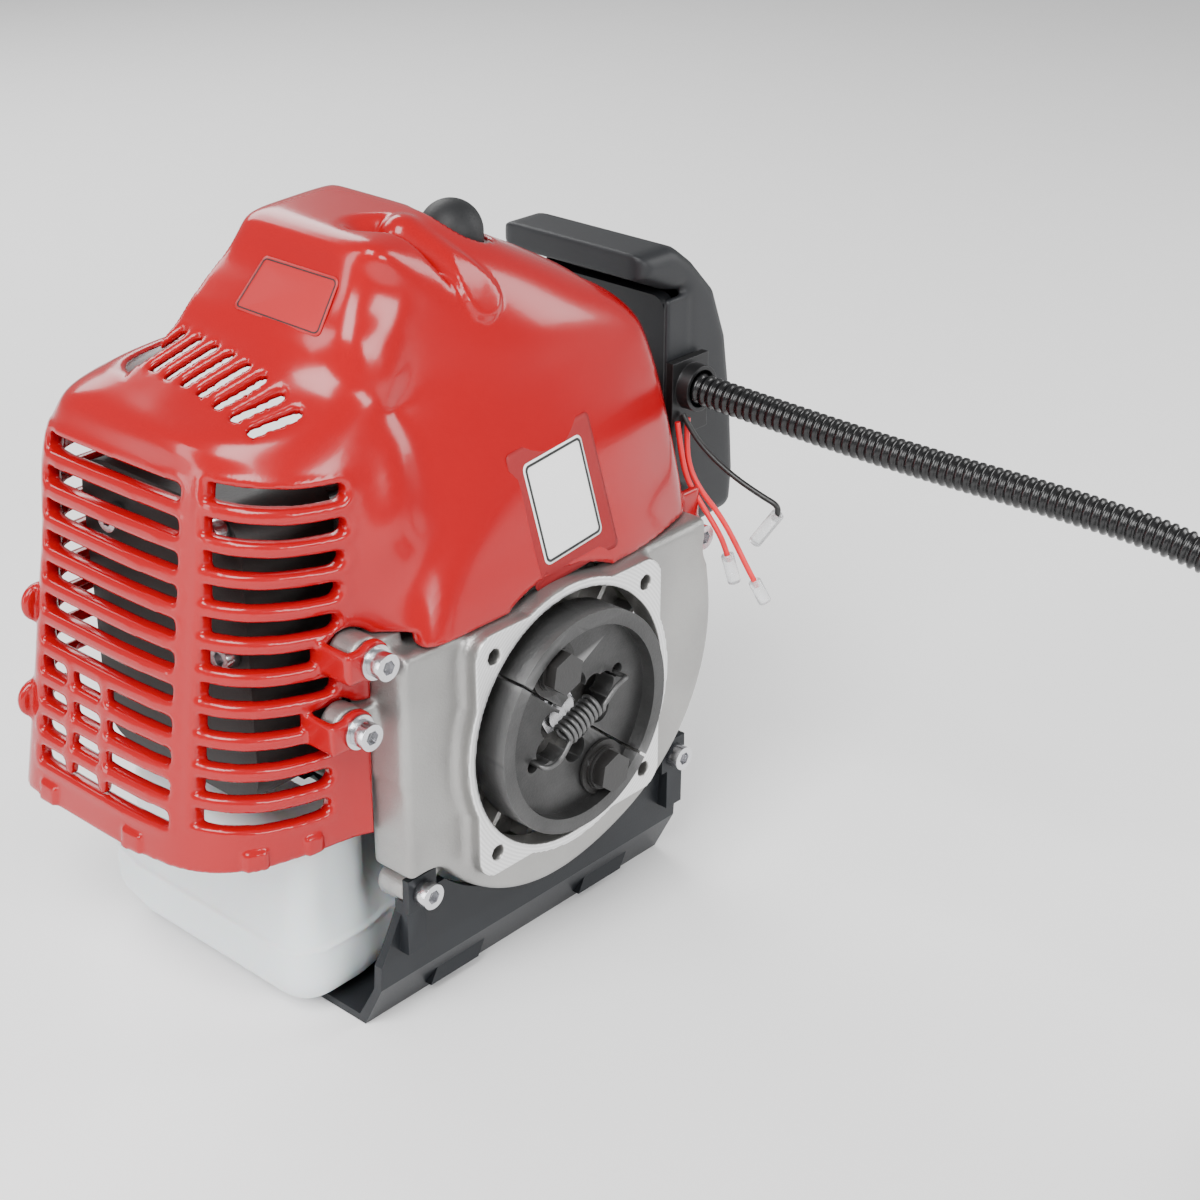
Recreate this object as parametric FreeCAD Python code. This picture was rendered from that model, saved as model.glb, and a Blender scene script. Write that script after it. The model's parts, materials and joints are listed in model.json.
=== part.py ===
import FreeCAD, Part

import math
import os

# Petrol drive engine of a concrete vibrator: a small air-cooled two-stroke that stands on a
# plate, with a centrifugal clutch in a square bolted flange at the front.
# Millimetres.  Origin: centre of the flange face on the crank axis.  -Y is the output side,
# +Y the recoil starter side, -X the exhaust side, +X the carburettor side, +Z up.

os.makedirs("parts", exist_ok=True)
V = FreeCAD.Vector

# ---------------------------------------------------------------- driving dimensions
FLANGE_PITCH = 70.0          # square pitch of the four flange holes
FLANGE_THICK = 6.0
FLANGE_BORE_R = 43.6
M6_TAP_R = 2.6
HOUSING_FACE_Y = 6.0         # front face of the cast fan housing
HOUSING_BACK_Y = 25.7
CRANKCASE_FRONT_Y = 26.0
CYL_Y = 50.0                 # cylinder axis along the crank
BORE_R = 20.0
STROKE = 30.0
CLUTCH_R = 38.0
CLUTCH_FRONT_Y = -6.0
CLUTCH_BACK_Y = 6.5
WEB_FRONT_Y = -1.0            # front of the thinner web inside the rim of each shoe
PIVOT_R = 25.3               # distance of the shoe pivots from the crank axis
PIVOT_DEG = 116.5            # angle of the upper pivot, from +X towards +Z
FLYWHEEL_R = 47.0
FLOOR_Z = -94.0
STAND_T = 2.8
COVER_T = 2.4
GAP = 0.3                    # clearance between neighbouring parts
RUN = 0.05                   # radial running clearance
M5_R, M5_HEAD_R, M5_HEAD_H = 2.45, 4.3, 5.0
CONDUIT_D = 11.0
WIRE_D = 2.0


def save(node, shape):
    """Write one named sub-part."""
    if isinstance(shape, (list, tuple)):
        shape = Part.makeCompound(list(shape))
    shape.exportStep("parts/" + node + ".step")


# ---------------------------------------------------------------- shape helpers
def box(x0, x1, y0, y1, z0, z1):
    return Part.makeBox(x1 - x0, y1 - y0, z1 - z0, V(x0, y0, z0))


def rod_x(y, z, r, x0, x1):
    return Part.makeCylinder(r, x1 - x0, V(x0, y, z), V(1, 0, 0))


def rod_y(x, z, r, y0, y1):
    return Part.makeCylinder(r, y1 - y0, V(x, y0, z), V(0, 1, 0))


def rod_z(x, y, r, z0, z1):
    return Part.makeCylinder(r, z1 - z0, V(x, y, z0), V(0, 0, 1))


def ring_y(x, z, r_out, r_in, y0, y1):
    return rod_y(x, z, r_out, y0, y1).cut(rod_y(x, z, r_in, y0 - 1, y1 + 1))


def closed_wire(points):
    corners = [V(*p) for p in points]
    return Part.makePolygon(corners + [corners[0]])


def prism_y(outline, y0, y1):
    """Outline of (x, z) corners, extruded along Y."""
    wire = closed_wire([(x, y0, z) for x, z in outline])
    return Part.Face(wire).extrude(V(0, y1 - y0, 0))


def prism_x(outline, x0, x1):
    """Outline of (y, z) corners, extruded along X."""
    wire = closed_wire([(x0, y, z) for y, z in outline])
    return Part.Face(wire).extrude(V(x1 - x0, 0, 0))


def prism_z(outline, z0, z1):
    """Outline of (x, y) corners, extruded along Z."""
    wire = closed_wire([(x, y, z0) for x, y in outline])
    return Part.Face(wire).extrude(V(0, 0, z1 - z0))


def hexagon(radius, turn=0.0):
    return [(radius * math.cos(math.radians(60 * k + turn)),
             radius * math.sin(math.radians(60 * k + turn))) for k in range(6)]


def along(shape, direction):
    """Fillet helper: the edges that run along a direction."""
    found = []
    for edge in shape.Edges:
        if len(edge.Vertexes) == 2 and isinstance(edge.Curve, Part.Line):
            run = edge.Vertexes[1].Point - edge.Vertexes[0].Point
            if abs(run.normalize().dot(direction)) > 0.999:
                found.append(edge)
    return found


def round_along(shape, direction, radius):
    return shape.makeFillet(radius, along(shape, direction))


def inset(outline, amount):
    """Move every side of a convex counter-clockwise outline inwards."""
    lines = []
    for (x0, y0), (x1, y1) in zip(outline, outline[1:] + outline[:1]):
        length = math.hypot(x1 - x0, y1 - y0)
        nx, ny = -(y1 - y0) / length, (x1 - x0) / length
        lines.append((nx, ny, nx * x0 + ny * y0 + amount))
    corners = []
    for (a, b, c), (d, e, f) in zip(lines[-1:] + lines[:-1], lines):
        det = a * e - b * d
        corners.append(((c * e - b * f) / det, (a * f - c * d) / det))
    return corners


def stack(rows):
    """Solid of flat triangles through horizontal outlines, rows of (z, [(x, y), ...])."""
    rings = [[(x, y, z) for x, y in outline] for z, outline in rows]
    faces = [Part.Face(closed_wire(rings[0])), Part.Face(closed_wire(rings[-1]))]
    for low, high in zip(rings, rings[1:]):
        for k in range(len(low)):
            a, b, c, d = low[k - 1], low[k], high[k], high[k - 1]
            faces += [Part.Face(closed_wire([a, b, c])), Part.Face(closed_wire([a, c, d]))]
    solid = Part.Solid(Part.makeShell(faces))
    return solid if solid.Volume > 0 else solid.reversed()


def socket_screw(x, z, head_y, length, towards=1, r=M5_R, head_r=M5_HEAD_R, head_h=M5_HEAD_H):
    """Cap screw along Y whose head face is at head_y."""
    axis = V(0, towards, 0)
    head = Part.makeCylinder(head_r, head_h, V(x, head_y, z), axis)
    socket = Part.Face(closed_wire([(x + u, head_y, z + w) for u, w in hexagon(head_r * 0.55)]))
    head = head.cut(socket.extrude(axis * (head_h * 0.55)))
    return head.fuse(Part.makeCylinder(r, length, V(x, head_y, z) + axis * (head_h * 0.6), axis))


def washer(x, z, y0, thickness, r_out=5.6, r_in=M5_R + RUN):
    return ring_y(x, z, r_out, r_in, y0, y0 + thickness)


def cord_tube(points, diameter):
    """Tube along straight runs joined by tangent arcs, as large as the runs allow."""
    path, radii, here = [], [], V(*points[0])
    for k in range(1, len(points) - 1):
        corner = V(*points[k])
        back, ahead = V(*points[k - 1]) - corner, V(*points[k + 1]) - corner
        reach = 0.45 * min(back.Length, ahead.Length)
        back.normalize()
        ahead.normalize()
        turn = math.pi - back.getAngle(ahead)
        start, end = corner + back * reach, corner + ahead * reach
        radius = reach / math.tan(turn / 2)
        bisector = (back + ahead).normalize()
        middle = corner + bisector * (radius / math.cos(turn / 2) - radius)
        path += [Part.LineSegment(here, start).toShape(), Part.Arc(start, middle, end).toShape()]
        radii.append(round(radius, 1))
        here = end
    path.append(Part.LineSegment(here, V(*points[-1])).toShape())
    spine = Part.Wire(path)
    first = (V(*points[1]) - V(*points[0])).normalize()
    section = Part.Wire(Part.makeCircle(diameter / 2, V(*points[0]), first))
    tube = spine.makePipeShell([section], True, True)
    ideal = spine.Length * math.pi * diameter ** 2 / 4
    print("cord", diameter, "length", round(spine.Length, 1), "radii", radii,
          "volume ratio", round(tube.Volume / ideal, 4))
    return tube


# ---------------------------------------------------------------- fan housing and flange
HOUSING_R = 62.4
VOLUTE_X, VOLUTE_Z, VOLUTE_R = 10.0, 8.0, 67.5
COVER_SCREWS = [(-72.5, 44.0, 6.0), (-77.5, 21.5, 9.0), (80.0, 32.0, 12.0)]   # x, z, head face y
COVER_LUG_T = 3.0
COVER_BOSS_R, COVER_POCKET_R = 6.5, 7.0
COVER_BOSS_BACK = M5_HEAD_H + 1.0 + COVER_LUG_T + 0.2     # head face to boss: washer, lug, gap
COVER_ARM, COVER_ARM_HALF = 14.0, 4.0
STAND_BOSS_R, STAND_BOSS_Y, STAND_ARM_Y = 6.0, 14.0, 16.0
CASE_BOSS_R = 5.5
HOUSING_WALL = 3.0
TAP_DEPTH = FLANGE_THICK + 7.0
STAND_SCREWS = [(-58.0, -43.0), (64.0, -46.0)]
HOUSING_TOP_Z = 43.4
CASE_SCREWS = [(-44.0, 34.0), (44.0, 34.0), (-44.0, -34.0), (44.0, -34.0)]
HOLE_AT = FLANGE_PITCH / 2


def housing_body(shrink, y0, y1):
    """Volute-shaped body of the fan housing, shrunk for its hollow."""
    r = HOUSING_R - shrink
    body = rod_y(0, 0, r, y0, y1)
    body = body.fuse(rod_y(VOLUTE_X, VOLUTE_Z, VOLUTE_R - shrink, y0, y1))
    body = body.fuse(prism_y([(-66 + shrink, -34 + shrink), (-20, -34 + shrink),
                              (-20, HOUSING_TOP_Z - shrink), (-66 + shrink, HOUSING_TOP_Z - shrink)],
                             y0, y1))
    top = box(-66 + shrink, 74 - shrink, y0, y1, 0, HOUSING_TOP_Z - shrink)
    return body.fuse(top).cut(box(-100, 100, y0 - 1, y1 + 1, HOUSING_TOP_Z - shrink, 120))


def flange_plate():
    """Square flange: a disc and four corner lugs joined by straight sides."""
    lug_r, disc_r = 8.0, 47.0
    plate = rod_y(0, 0, disc_r, 0, FLANGE_THICK)
    square = box(-HOLE_AT, HOLE_AT, 0, FLANGE_THICK, -HOLE_AT, HOLE_AT)
    wide = box(-HOLE_AT - lug_r, HOLE_AT + lug_r, 0, FLANGE_THICK, -HOLE_AT, HOLE_AT)
    tall = box(-HOLE_AT, HOLE_AT, 0, FLANGE_THICK, -HOLE_AT - lug_r, HOLE_AT + lug_r)
    plate = plate.fuse([square, wide, tall])
    for sx in (-1, 1):
        for sz in (-1, 1):
            plate = plate.fuse(rod_y(sx * HOLE_AT, sz * HOLE_AT, lug_r, 0, FLANGE_THICK + 8))
    return plate


def fan_housing():
    """Cast housing: volute, square flange and the bosses of the cover, stand and case screws."""
    inner_y = HOUSING_FACE_Y + HOUSING_WALL
    body = housing_body(0, HOUSING_FACE_Y, HOUSING_BACK_Y)
    body = body.cut(housing_body(HOUSING_WALL, inner_y, HOUSING_BACK_Y + 1))
    body = body.cut(box(-54, 60, inner_y, HOUSING_BACK_Y + 1, 40, 60))
    body = body.fuse([flange_plate(), rod_y(0, 0, 49.5, HOUSING_FACE_Y - 1, inner_y)])
    for x, z, head_y in COVER_SCREWS:
        boss_y = head_y + COVER_BOSS_BACK
        side = -1 if x < 0 else 1
        body = body.fuse(rod_y(x, z, COVER_BOSS_R, boss_y, HOUSING_BACK_Y))
        body = body.fuse(box(min(x, x - side * COVER_ARM), max(x, x - side * COVER_ARM),
                             boss_y, HOUSING_BACK_Y, z - COVER_ARM_HALF, z + COVER_ARM_HALF))
    for x, z in STAND_SCREWS:
        body = body.fuse(rod_y(x, z, STAND_BOSS_R, STAND_BOSS_Y, HOUSING_BACK_Y))
        body = body.fuse(box(min(0.8 * x, x), max(0.8 * x, x), STAND_ARM_Y, HOUSING_BACK_Y,
                             z - 3, z + 12))
    for x, z in CASE_SCREWS:
        body = body.fuse(rod_y(x, z, CASE_BOSS_R, HOUSING_FACE_Y, HOUSING_BACK_Y))
    body = body.cut(rod_y(0, 0, FLANGE_BORE_R, -1, inner_y + 0.5))
    body = body.cut(rod_y(0, 0, FLYWHEEL_R + 1.5, inner_y, HOUSING_BACK_Y + 1))
    for sx in (-1, 1):
        for sz in (-1, 1):
            body = body.cut(rod_y(sx * HOLE_AT, sz * HOLE_AT, M6_TAP_R, -1, TAP_DEPTH))
    for x, z, head_y in COVER_SCREWS:
        body = body.cut(rod_y(x, z, M5_R + RUN, head_y, HOUSING_BACK_Y - 1))
        body = body.cut(rod_y(x, z, COVER_POCKET_R, 0, head_y + COVER_BOSS_BACK))
    for x, z in STAND_SCREWS:
        body = body.cut(rod_y(x, z, M5_R + RUN, 5, HOUSING_BACK_Y - 1))
    for x, z in CASE_SCREWS:
        body = body.cut(rod_y(x, z, M5_R + RUN, HOUSING_FACE_Y + 4, HOUSING_BACK_Y + 1))
    return body


# ---------------------------------------------------------------- clutch
def polar(radius, degrees):
    return (radius * math.cos(math.radians(degrees)), radius * math.sin(math.radians(degrees)))


def clutch_shoe():
    """Upper shoe: a weighted half ring with a thinner web that carries the pivot."""
    full = rod_y(0, 0, CLUTCH_R, CLUTCH_FRONT_Y, CLUTCH_BACK_Y)
    recess = rod_y(0, 0, CLUTCH_R - 5.0, CLUTCH_FRONT_Y - 1, WEB_FRONT_Y)
    shoe = full.cut(recess)
    split = PIVOT_DEG + 23.0
    sx, sz = polar(60.0, split)
    nx, nz = polar(60.0, split - 90.0)
    half = prism_y([(sx, sz), (-sx, -sz), (-sx + nx, -sz + nz), (sx + nx, sz + nz)], -10, 10)
    half.translate(V(nx, 0, nz) * (0.5 / 60.0))
    shoe = shoe.common(half)
    shoe = shoe.cut(rod_y(0, 0, 9.0, -10, 10))
    for turn in (-35.0, 15.0, 62.0):
        ax, az = polar(11.5, PIVOT_DEG - 90.0 + turn)
        shoe = shoe.cut(rod_y(ax, az, 4.6, -10, 10))
    hx, hz = polar(22.0, PIVOT_DEG - 90.0 - 1.0)
    shoe = shoe.cut(rod_y(hx, hz, 2.4, -10, 10))
    tx, tz = polar(15.0, PIVOT_DEG - 90.0 - 1.0)
    shoe = shoe.cut(rod_y(tx, tz, 4.8, -10, 10))
    px, pz = polar(PIVOT_R, PIVOT_DEG)
    slot = box(0, 13.0, -10, 10, -5.6, 5.6)
    slot.rotate(V(0, 0, 0), V(0, 1, 0), 91.0 - PIVOT_DEG)
    shoe = shoe.cut([rod_y(px, pz, 4.2 + RUN, -10, 10), slot])
    return max(shoe.Solids, key=lambda solid: solid.Volume)


def clutch_pins():
    """Two shouldered bolts and the stepped washers under their heads."""
    bolts, washers = [], []
    seat = WEB_FRONT_Y - 2.3
    for turn in (0, 180):
        x, z = polar(PIVOT_R, PIVOT_DEG + turn)
        head = prism_y([(x + u, z + w) for u, w in hexagon(7.0, 20)], seat - 5.3, seat - 0.5)
        head = head.fuse(rod_y(x, z, 7.2, seat - 1.1, seat))
        bolts.append(head.fuse(rod_y(x, z, 4.2, seat - 0.1, 11.9)))
        disc = rod_y(x, z, 9.5, WEB_FRONT_Y - 1.4, WEB_FRONT_Y - GAP)
        disc = disc.fuse(rod_y(x, z, 7.6, seat + 0.1, WEB_FRONT_Y - 1.3))
        disc = disc.common(rod_y(0, 0, CLUTCH_R - 5.6, -20, 0))
        washers.append(disc.cut(rod_y(x, z, 4.2 + RUN, -10, 0)))
    return bolts, washers


def clutch_spring():
    """Tension spring across the centre, its hooks in the two shoes."""
    wire_r, coil_r, coils, pitch = 0.9, 3.6, 8, 2.3
    ax, az = polar(1.0, PIVOT_DEG - 91.0)
    axis = V(ax, 0, az)
    centre_y = -2.6
    turns = []
    for k in range(coils):
        at = axis * ((k - (coils - 1) / 2) * pitch) + V(0, centre_y, 0)
        turns.append(Part.makeTorus(coil_r, wire_r, at, axis))
    reach = (coils - 1) / 2 * pitch
    spine = Part.makeCylinder(wire_r, 2 * reach, V(0, centre_y - coil_r, 0) - axis * reach, axis)
    spring = spine.fuse(turns)
    for side in (-1, 1):
        start = V(0, centre_y - coil_r, 0) + axis * (side * reach)
        arm = Part.makeCylinder(wire_r, 21.5 - reach, start, axis * side)
        hook = Part.makeCylinder(wire_r, 8.0, start + axis * (side * (21.5 - reach)), V(0, 1, 0))
        spring = spring.fuse([arm, hook])
    return spring


# ---------------------------------------------------------------- rotating parts
def flywheel():
    disc = rod_y(0, 0, FLYWHEEL_R, 18.0, 24.5)
    hub = rod_y(0, 0, 33.0, 12.0, 24.5)
    wheel = disc.fuse(hub)
    for k in range(14):
        blade = box(31.0, FLYWHEEL_R, 10.5, 19.0, -1.0, 1.0)
        blade.rotate(V(0, 0, 0), V(0, 1, 0), k * 360.0 / 14)
        wheel = wheel.fuse(blade)
    for turn in (0, 180):
        x, z = polar(PIVOT_R, PIVOT_DEG + turn)
        wheel = wheel.fuse(rod_y(x, z, 9.0, CLUTCH_BACK_Y + GAP, 12.5))
    wheel = wheel.cut(rod_y(0, 0, 6.0 + RUN, 0, 30))
    for turn in (0, 180):
        x, z = polar(PIVOT_R, PIVOT_DEG + turn)
        wheel = wheel.cut(rod_y(x, z, 4.2 + RUN, 0, 12.4))
    return wheel.removeSplitter()


WEB_R, WEB_T, PIN_R, PIN_LEN = 23.0, 5.0, 4.6, 12.0


def crankshaft():
    throw = STROKE / 2
    front_web = CYL_Y - PIN_LEN / 2
    back_web = CYL_Y + PIN_LEN / 2
    shaft = rod_y(0, 0, 6.0, 5.0, 28.0)
    shaft = shaft.fuse([rod_y(0, 0, 7.5, 27.0, front_web - WEB_T + 1),
                        rod_y(0, 0, WEB_R, front_web - WEB_T, front_web),
                        rod_y(0, throw, PIN_R, front_web - 1, back_web + 1),
                        rod_y(0, 0, WEB_R, back_web, back_web + WEB_T),
                        rod_y(0, 0, 7.5, back_web + WEB_T - 1, 74.0),
                        rod_y(0, 0, 5.0, 73.0, 82.0)])
    return shaft.removeSplitter()


def flywheel_nut():
    nut = prism_y(hexagon(8.6), 7.2, 11.9)
    return nut.cut(rod_y(0, 0, 6.0 + RUN, 0, 20))


def starter_pawls():
    """Drive plate with two pawls on the rear end of the crank."""
    plate = ring_y(0, 0, 18.0, 5.0 + RUN, 76.0, 78.6)
    for turn in (20, 200):
        pawl = box(6.0, 17.0, 78.5, 81.5, -3.0, 3.0)
        pawl.rotate(V(0, 0, 0), V(0, 1, 0), turn)
        plate = plate.fuse(pawl)
    return plate


# ---------------------------------------------------------------- crankcase and cylinder
CASE_BACK_Y = 74.0
CASE_TOP_Z = 31.0
STARTER_LUGS = [(-44.0, -24.0), (44.0, -24.0), (0.0, -48.0)]


def crankcase():
    case = rod_y(0, 0, 31.0, CRANKCASE_FRONT_Y, CASE_BACK_Y)
    case = case.fuse(box(-31, 31, CRANKCASE_FRONT_Y, CASE_BACK_Y, 0, CASE_TOP_Z))
    plate = rod_y(0, 0, 58.0, CRANKCASE_FRONT_Y, 29.5)
    plate = plate.cut(box(-70, 70, 0, 60, HOUSING_TOP_Z, 80))
    plate = plate.cut(rod_z(0, CYL_Y, BORE_R + 4.2, CASE_TOP_Z, 60))
    case = case.fuse(plate)
    arms = [box(-44, 44, 60.0, CASE_BACK_Y, -29, -18), box(-6, 6, 60.0, CASE_BACK_Y, -49, 0)]
    case = case.fuse(arms + [rod_y(x, z, 6.0, 60.0, CASE_BACK_Y) for x, z in STARTER_LUGS])
    case = case.cut(rod_y(0, 0, WEB_R + 1.5, 38.5, 61.5))
    case = case.cut(rod_z(0, CYL_Y, BORE_R + 0.6, 0, CASE_TOP_Z + 1))
    case = case.cut(rod_y(0, 0, 8.0, 20, 80))
    case = case.cut(rod_y(0, 0, 14.0, 31.5, 39.0))
    case = case.cut(rod_y(0, 0, 14.0, 61.0, 68.5))
    case = case.cut(rod_y(0, 0, 11.0, 20.0, 30.0))
    case = case.cut(rod_y(0, 0, 11.0, 70.0, 80.0))
    for x, z in STARTER_LUGS:
        case = case.cut(rod_y(x, z, M5_R + RUN, 64.0, 80.0))
    for x, z in CASE_SCREWS:
        case = case.cut(rod_y(x, z, M5_R + RUN, 20, 40))
    return case


def bearings():
    return [ring_y(0, 0, 13.95, 7.5 + RUN, 31.7, 38.4), ring_y(0, 0, 13.95, 7.5 + RUN, 61.6, 68.4)]


def oil_seals():
    return [ring_y(0, 0, 10.95, 7.5 + RUN, 28.2, 29.8), ring_y(0, 0, 10.95, 7.5 + RUN, 70.2, 73.5)]


CYL_BASE_Z = CASE_TOP_Z + 0.8
HEAD_Z = 104.0
EXHAUST_BOLT_Z = (42.0, 82.0)
INTAKE_DY = (-9.9, 9.9)
CARB_Y, CARB_Z = CYL_Y, 54.0


def cylinder():
    barrel = rod_z(0, CYL_Y, BORE_R + 3.6, CYL_BASE_Z, 92.0)
    foot = box(-28, 28, 29.8, 71, CYL_BASE_Z, CYL_BASE_Z + 5)
    dome = rod_z(0, CYL_Y, 21.0, 90.0, HEAD_Z)
    body = barrel.fuse([foot, dome])
    for k in range(10):
        z = 46.0 + k * 6.0
        depth = 29.0 if z < 96 else 24.0
        front, back = (19.8, 24.5) if z < 57 else (depth, depth)
        fin = box(-33, 34, CYL_Y - front, CYL_Y + back, z, z + 1.8)
        body = body.fuse(round_along(fin, V(0, 0, 1), 6.0))
    exhaust = box(-36, -15, CYL_Y - 12, CYL_Y + 12, 36, 88)
    intake = box(15, 38, CYL_Y - 13, CYL_Y + 13, 40, 68)
    body = body.fuse([exhaust, intake])
    body = body.cut(rod_z(0, CYL_Y, BORE_R, 20, 88.0))
    body = body.cut(Part.makeSphere(20.0, V(0, CYL_Y, 82.0)).common(box(-30, 30, 20, 80, 87.9, 110)))
    body = body.cut(rod_x(CYL_Y, 62.0, 8.0, -40, -10))
    body = body.cut(rod_x(CYL_Y, 54.0, 7.0, 10, 40))
    body = body.cut(rod_z(0, CYL_Y, 5.0 + RUN, 90, 120))
    for z in EXHAUST_BOLT_Z:
        body = body.cut(rod_x(CYL_Y, z, 2.5, -37, -25))
    for dy in INTAKE_DY:
        body = body.cut(rod_x(CYL_Y + dy, CARB_Z, 2.0, 28, 39))
    return body.removeSplitter()


def piston_group():
    crown_z = 15.0 + 62.0 + 9.0 - 6.0
    skirt_z = crown_z - 27.0
    pin_z = crown_z - 15.0
    piston = rod_z(0, CYL_Y, BORE_R - 0.15, skirt_z, crown_z)
    piston = piston.cut(rod_z(0, CYL_Y, BORE_R - 3.2, skirt_z - 1, crown_z - 4))
    bosses = box(-BORE_R, BORE_R, CYL_Y - 20, CYL_Y + 20, pin_z - 7, pin_z + 7)
    bosses = bosses.cut(box(-30, 30, CYL_Y - 6.5, CYL_Y + 6.5, pin_z - 9, pin_z + 9))
    bosses = bosses.common(rod_z(0, CYL_Y, BORE_R - 2.0, skirt_z, crown_z))
    bosses = bosses.common(box(-8, 8, 0, 100, 0, 120))
    piston = piston.fuse(bosses).cut(rod_y(0, pin_z, 5.0 + RUN, 20, 80))
    rings = []
    for z in (crown_z - 4.5, crown_z - 8.5):
        piston = piston.cut(rod_z(0, CYL_Y, 30, z, z + 1.6).cut(rod_z(0, CYL_Y, 18.0, z - 1, z + 3)))
        ring = rod_z(0, CYL_Y, BORE_R - 0.02, z + 0.1, z + 1.5)
        ring = ring.cut(rod_z(0, CYL_Y, 18.1, z - 1, z + 3))
        rings.append(ring.cut(box(-0.4, 0.4, CYL_Y - 25, CYL_Y, z - 1, z + 3)))
    pin = rod_y(0, pin_z, 5.0, CYL_Y - 17.0, CYL_Y + 17.0).cut(rod_y(0, pin_z, 3.0, 20, 80))
    sweep = STROKE / 2 + PIN_R + 0.8
    rod = box(-4.5, 4.5, CYL_Y - 3, CYL_Y + 3, 12, pin_z)
    rod = rod.fuse([rod_y(0, pin_z, 8.0, CYL_Y - 5.5, CYL_Y + 5.5),
                    rod_y(0, STROKE / 2, 9.5, CYL_Y - 5.0, CYL_Y + 5.0)])
    rod = rod.cut(rod_y(0, 0, sweep, 20, 80)).cut(rod_y(0, pin_z, 5.0 + RUN, 20, 80))
    rod = rod.common(box(-30, 30, 0, 100, 8, 200))
    upper = [s for s in rod.Solids if s.CenterOfMass.z > 20]
    return piston, rings, pin, upper[0]


def spark_plug():
    plug = rod_z(0, CYL_Y, 5.0, 92.0, HEAD_Z + 0.3).fuse(rod_z(0, CYL_Y, 8.5, HEAD_Z + 0.2, 108.0))
    hexed = closed_wire([(u, CYL_Y + w, 108.0) for u, w in hexagon(9.2)])
    plug = plug.fuse(Part.Face(hexed).extrude(V(0, 0, 8)))
    return plug.fuse([rod_z(0, CYL_Y, 5.0, 116.0, 136.0), rod_z(0, CYL_Y, 2.6, 136.0, 141.0)])


def spark_plug_cap():
    cap = rod_z(0, CYL_Y, 10.0, 121.0, 150.0)
    cap = cap.fuse(Part.makeSphere(10.0, V(0, CYL_Y, 150.0)))
    arm = Part.makeCone(8.6, 5.2, 32.0, V(0, CYL_Y, 149.0), V(0.15, 1.0, -0.28))
    cap = cap.fuse(arm)
    cap = cap.cut(rod_z(0, CYL_Y, 5.0 + RUN, 120, 136.1)).cut(rod_z(0, CYL_Y, 2.65, 136, 141.1))
    return cap


# ---------------------------------------------------------------- muffler
MUFFLER_OUT_X, MUFFLER_IN_X = -95.0, -59.0
COVER_BOLT = (100.0, 72.0)   # y, z of the bolt on the outer face of the muffler


TAIL_PIPE = (-83.5, 11.5)    # x, z of the outlet in the muffler's rear wall
MUFFLER_WALL, MUFFLER_ROUND = 1.5, 12.0


def muffler():
    """Hollow box muffler with its inlet duct and flange, bolt sleeves and outlet."""
    out, near, wall = MUFFLER_OUT_X, MUFFLER_IN_X, MUFFLER_WALL
    can = round_along(box(out, near, 42, 118, -10, 88), V(1, 0, 0), MUFFLER_ROUND)
    hollow = box(out + wall, near - wall, 42 + wall, 118 - wall, -10 + wall, 88 - wall)
    can = can.cut(round_along(hollow, V(1, 0, 0), MUFFLER_ROUND - wall))
    can = can.fuse(rod_y(*TAIL_PIPE, 6.0, 117, 124))
    for z in EXHAUST_BOLT_Z:
        can = can.fuse(rod_x(CYL_Y, z, 4.4, out + 0.8, near - 0.8))
    y, z = COVER_BOLT
    can = can.fuse(rod_x(y, z, 5.0, out + 0.7, out + 14))
    can = can.fuse(box(near - 0.6, -37.1, CYL_Y - 12, CYL_Y + 12, 48, 76))
    can = can.fuse(box(-42, -37.1, CYL_Y - 12, CYL_Y + 12, 36, 88))
    can = can.cut(rod_x(CYL_Y, 62.0, 8.0, -70, -30))
    for bolt_z in EXHAUST_BOLT_Z:
        can = can.cut(rod_x(CYL_Y, bolt_z, 2.5 + RUN, -100, -30))
    can = can.cut(rod_x(y, z, 2.45 + RUN, -100, out + 12))
    return can.cut(rod_y(*TAIL_PIPE, 4.6, 110, 130))


def muffler_bolt(y, z, end_x):
    head = rod_x(y, z, 4.3, MUFFLER_OUT_X - 5.0, MUFFLER_OUT_X - 0.2)
    socket = closed_wire([(MUFFLER_OUT_X - 5.0, y + u, z + w) for u, w in hexagon(2.4)])
    head = head.cut(Part.Face(socket).extrude(V(2.6, 0, 0)))
    return head.fuse(rod_x(y, z, M5_R, MUFFLER_OUT_X - 0.5, end_x))


def muffler_bolts():
    bolts = [muffler_bolt(CYL_Y, z, -26.0) for z in EXHAUST_BOLT_Z]
    return bolts + [muffler_bolt(*COVER_BOLT, MUFFLER_OUT_X + 11.5)]


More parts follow.
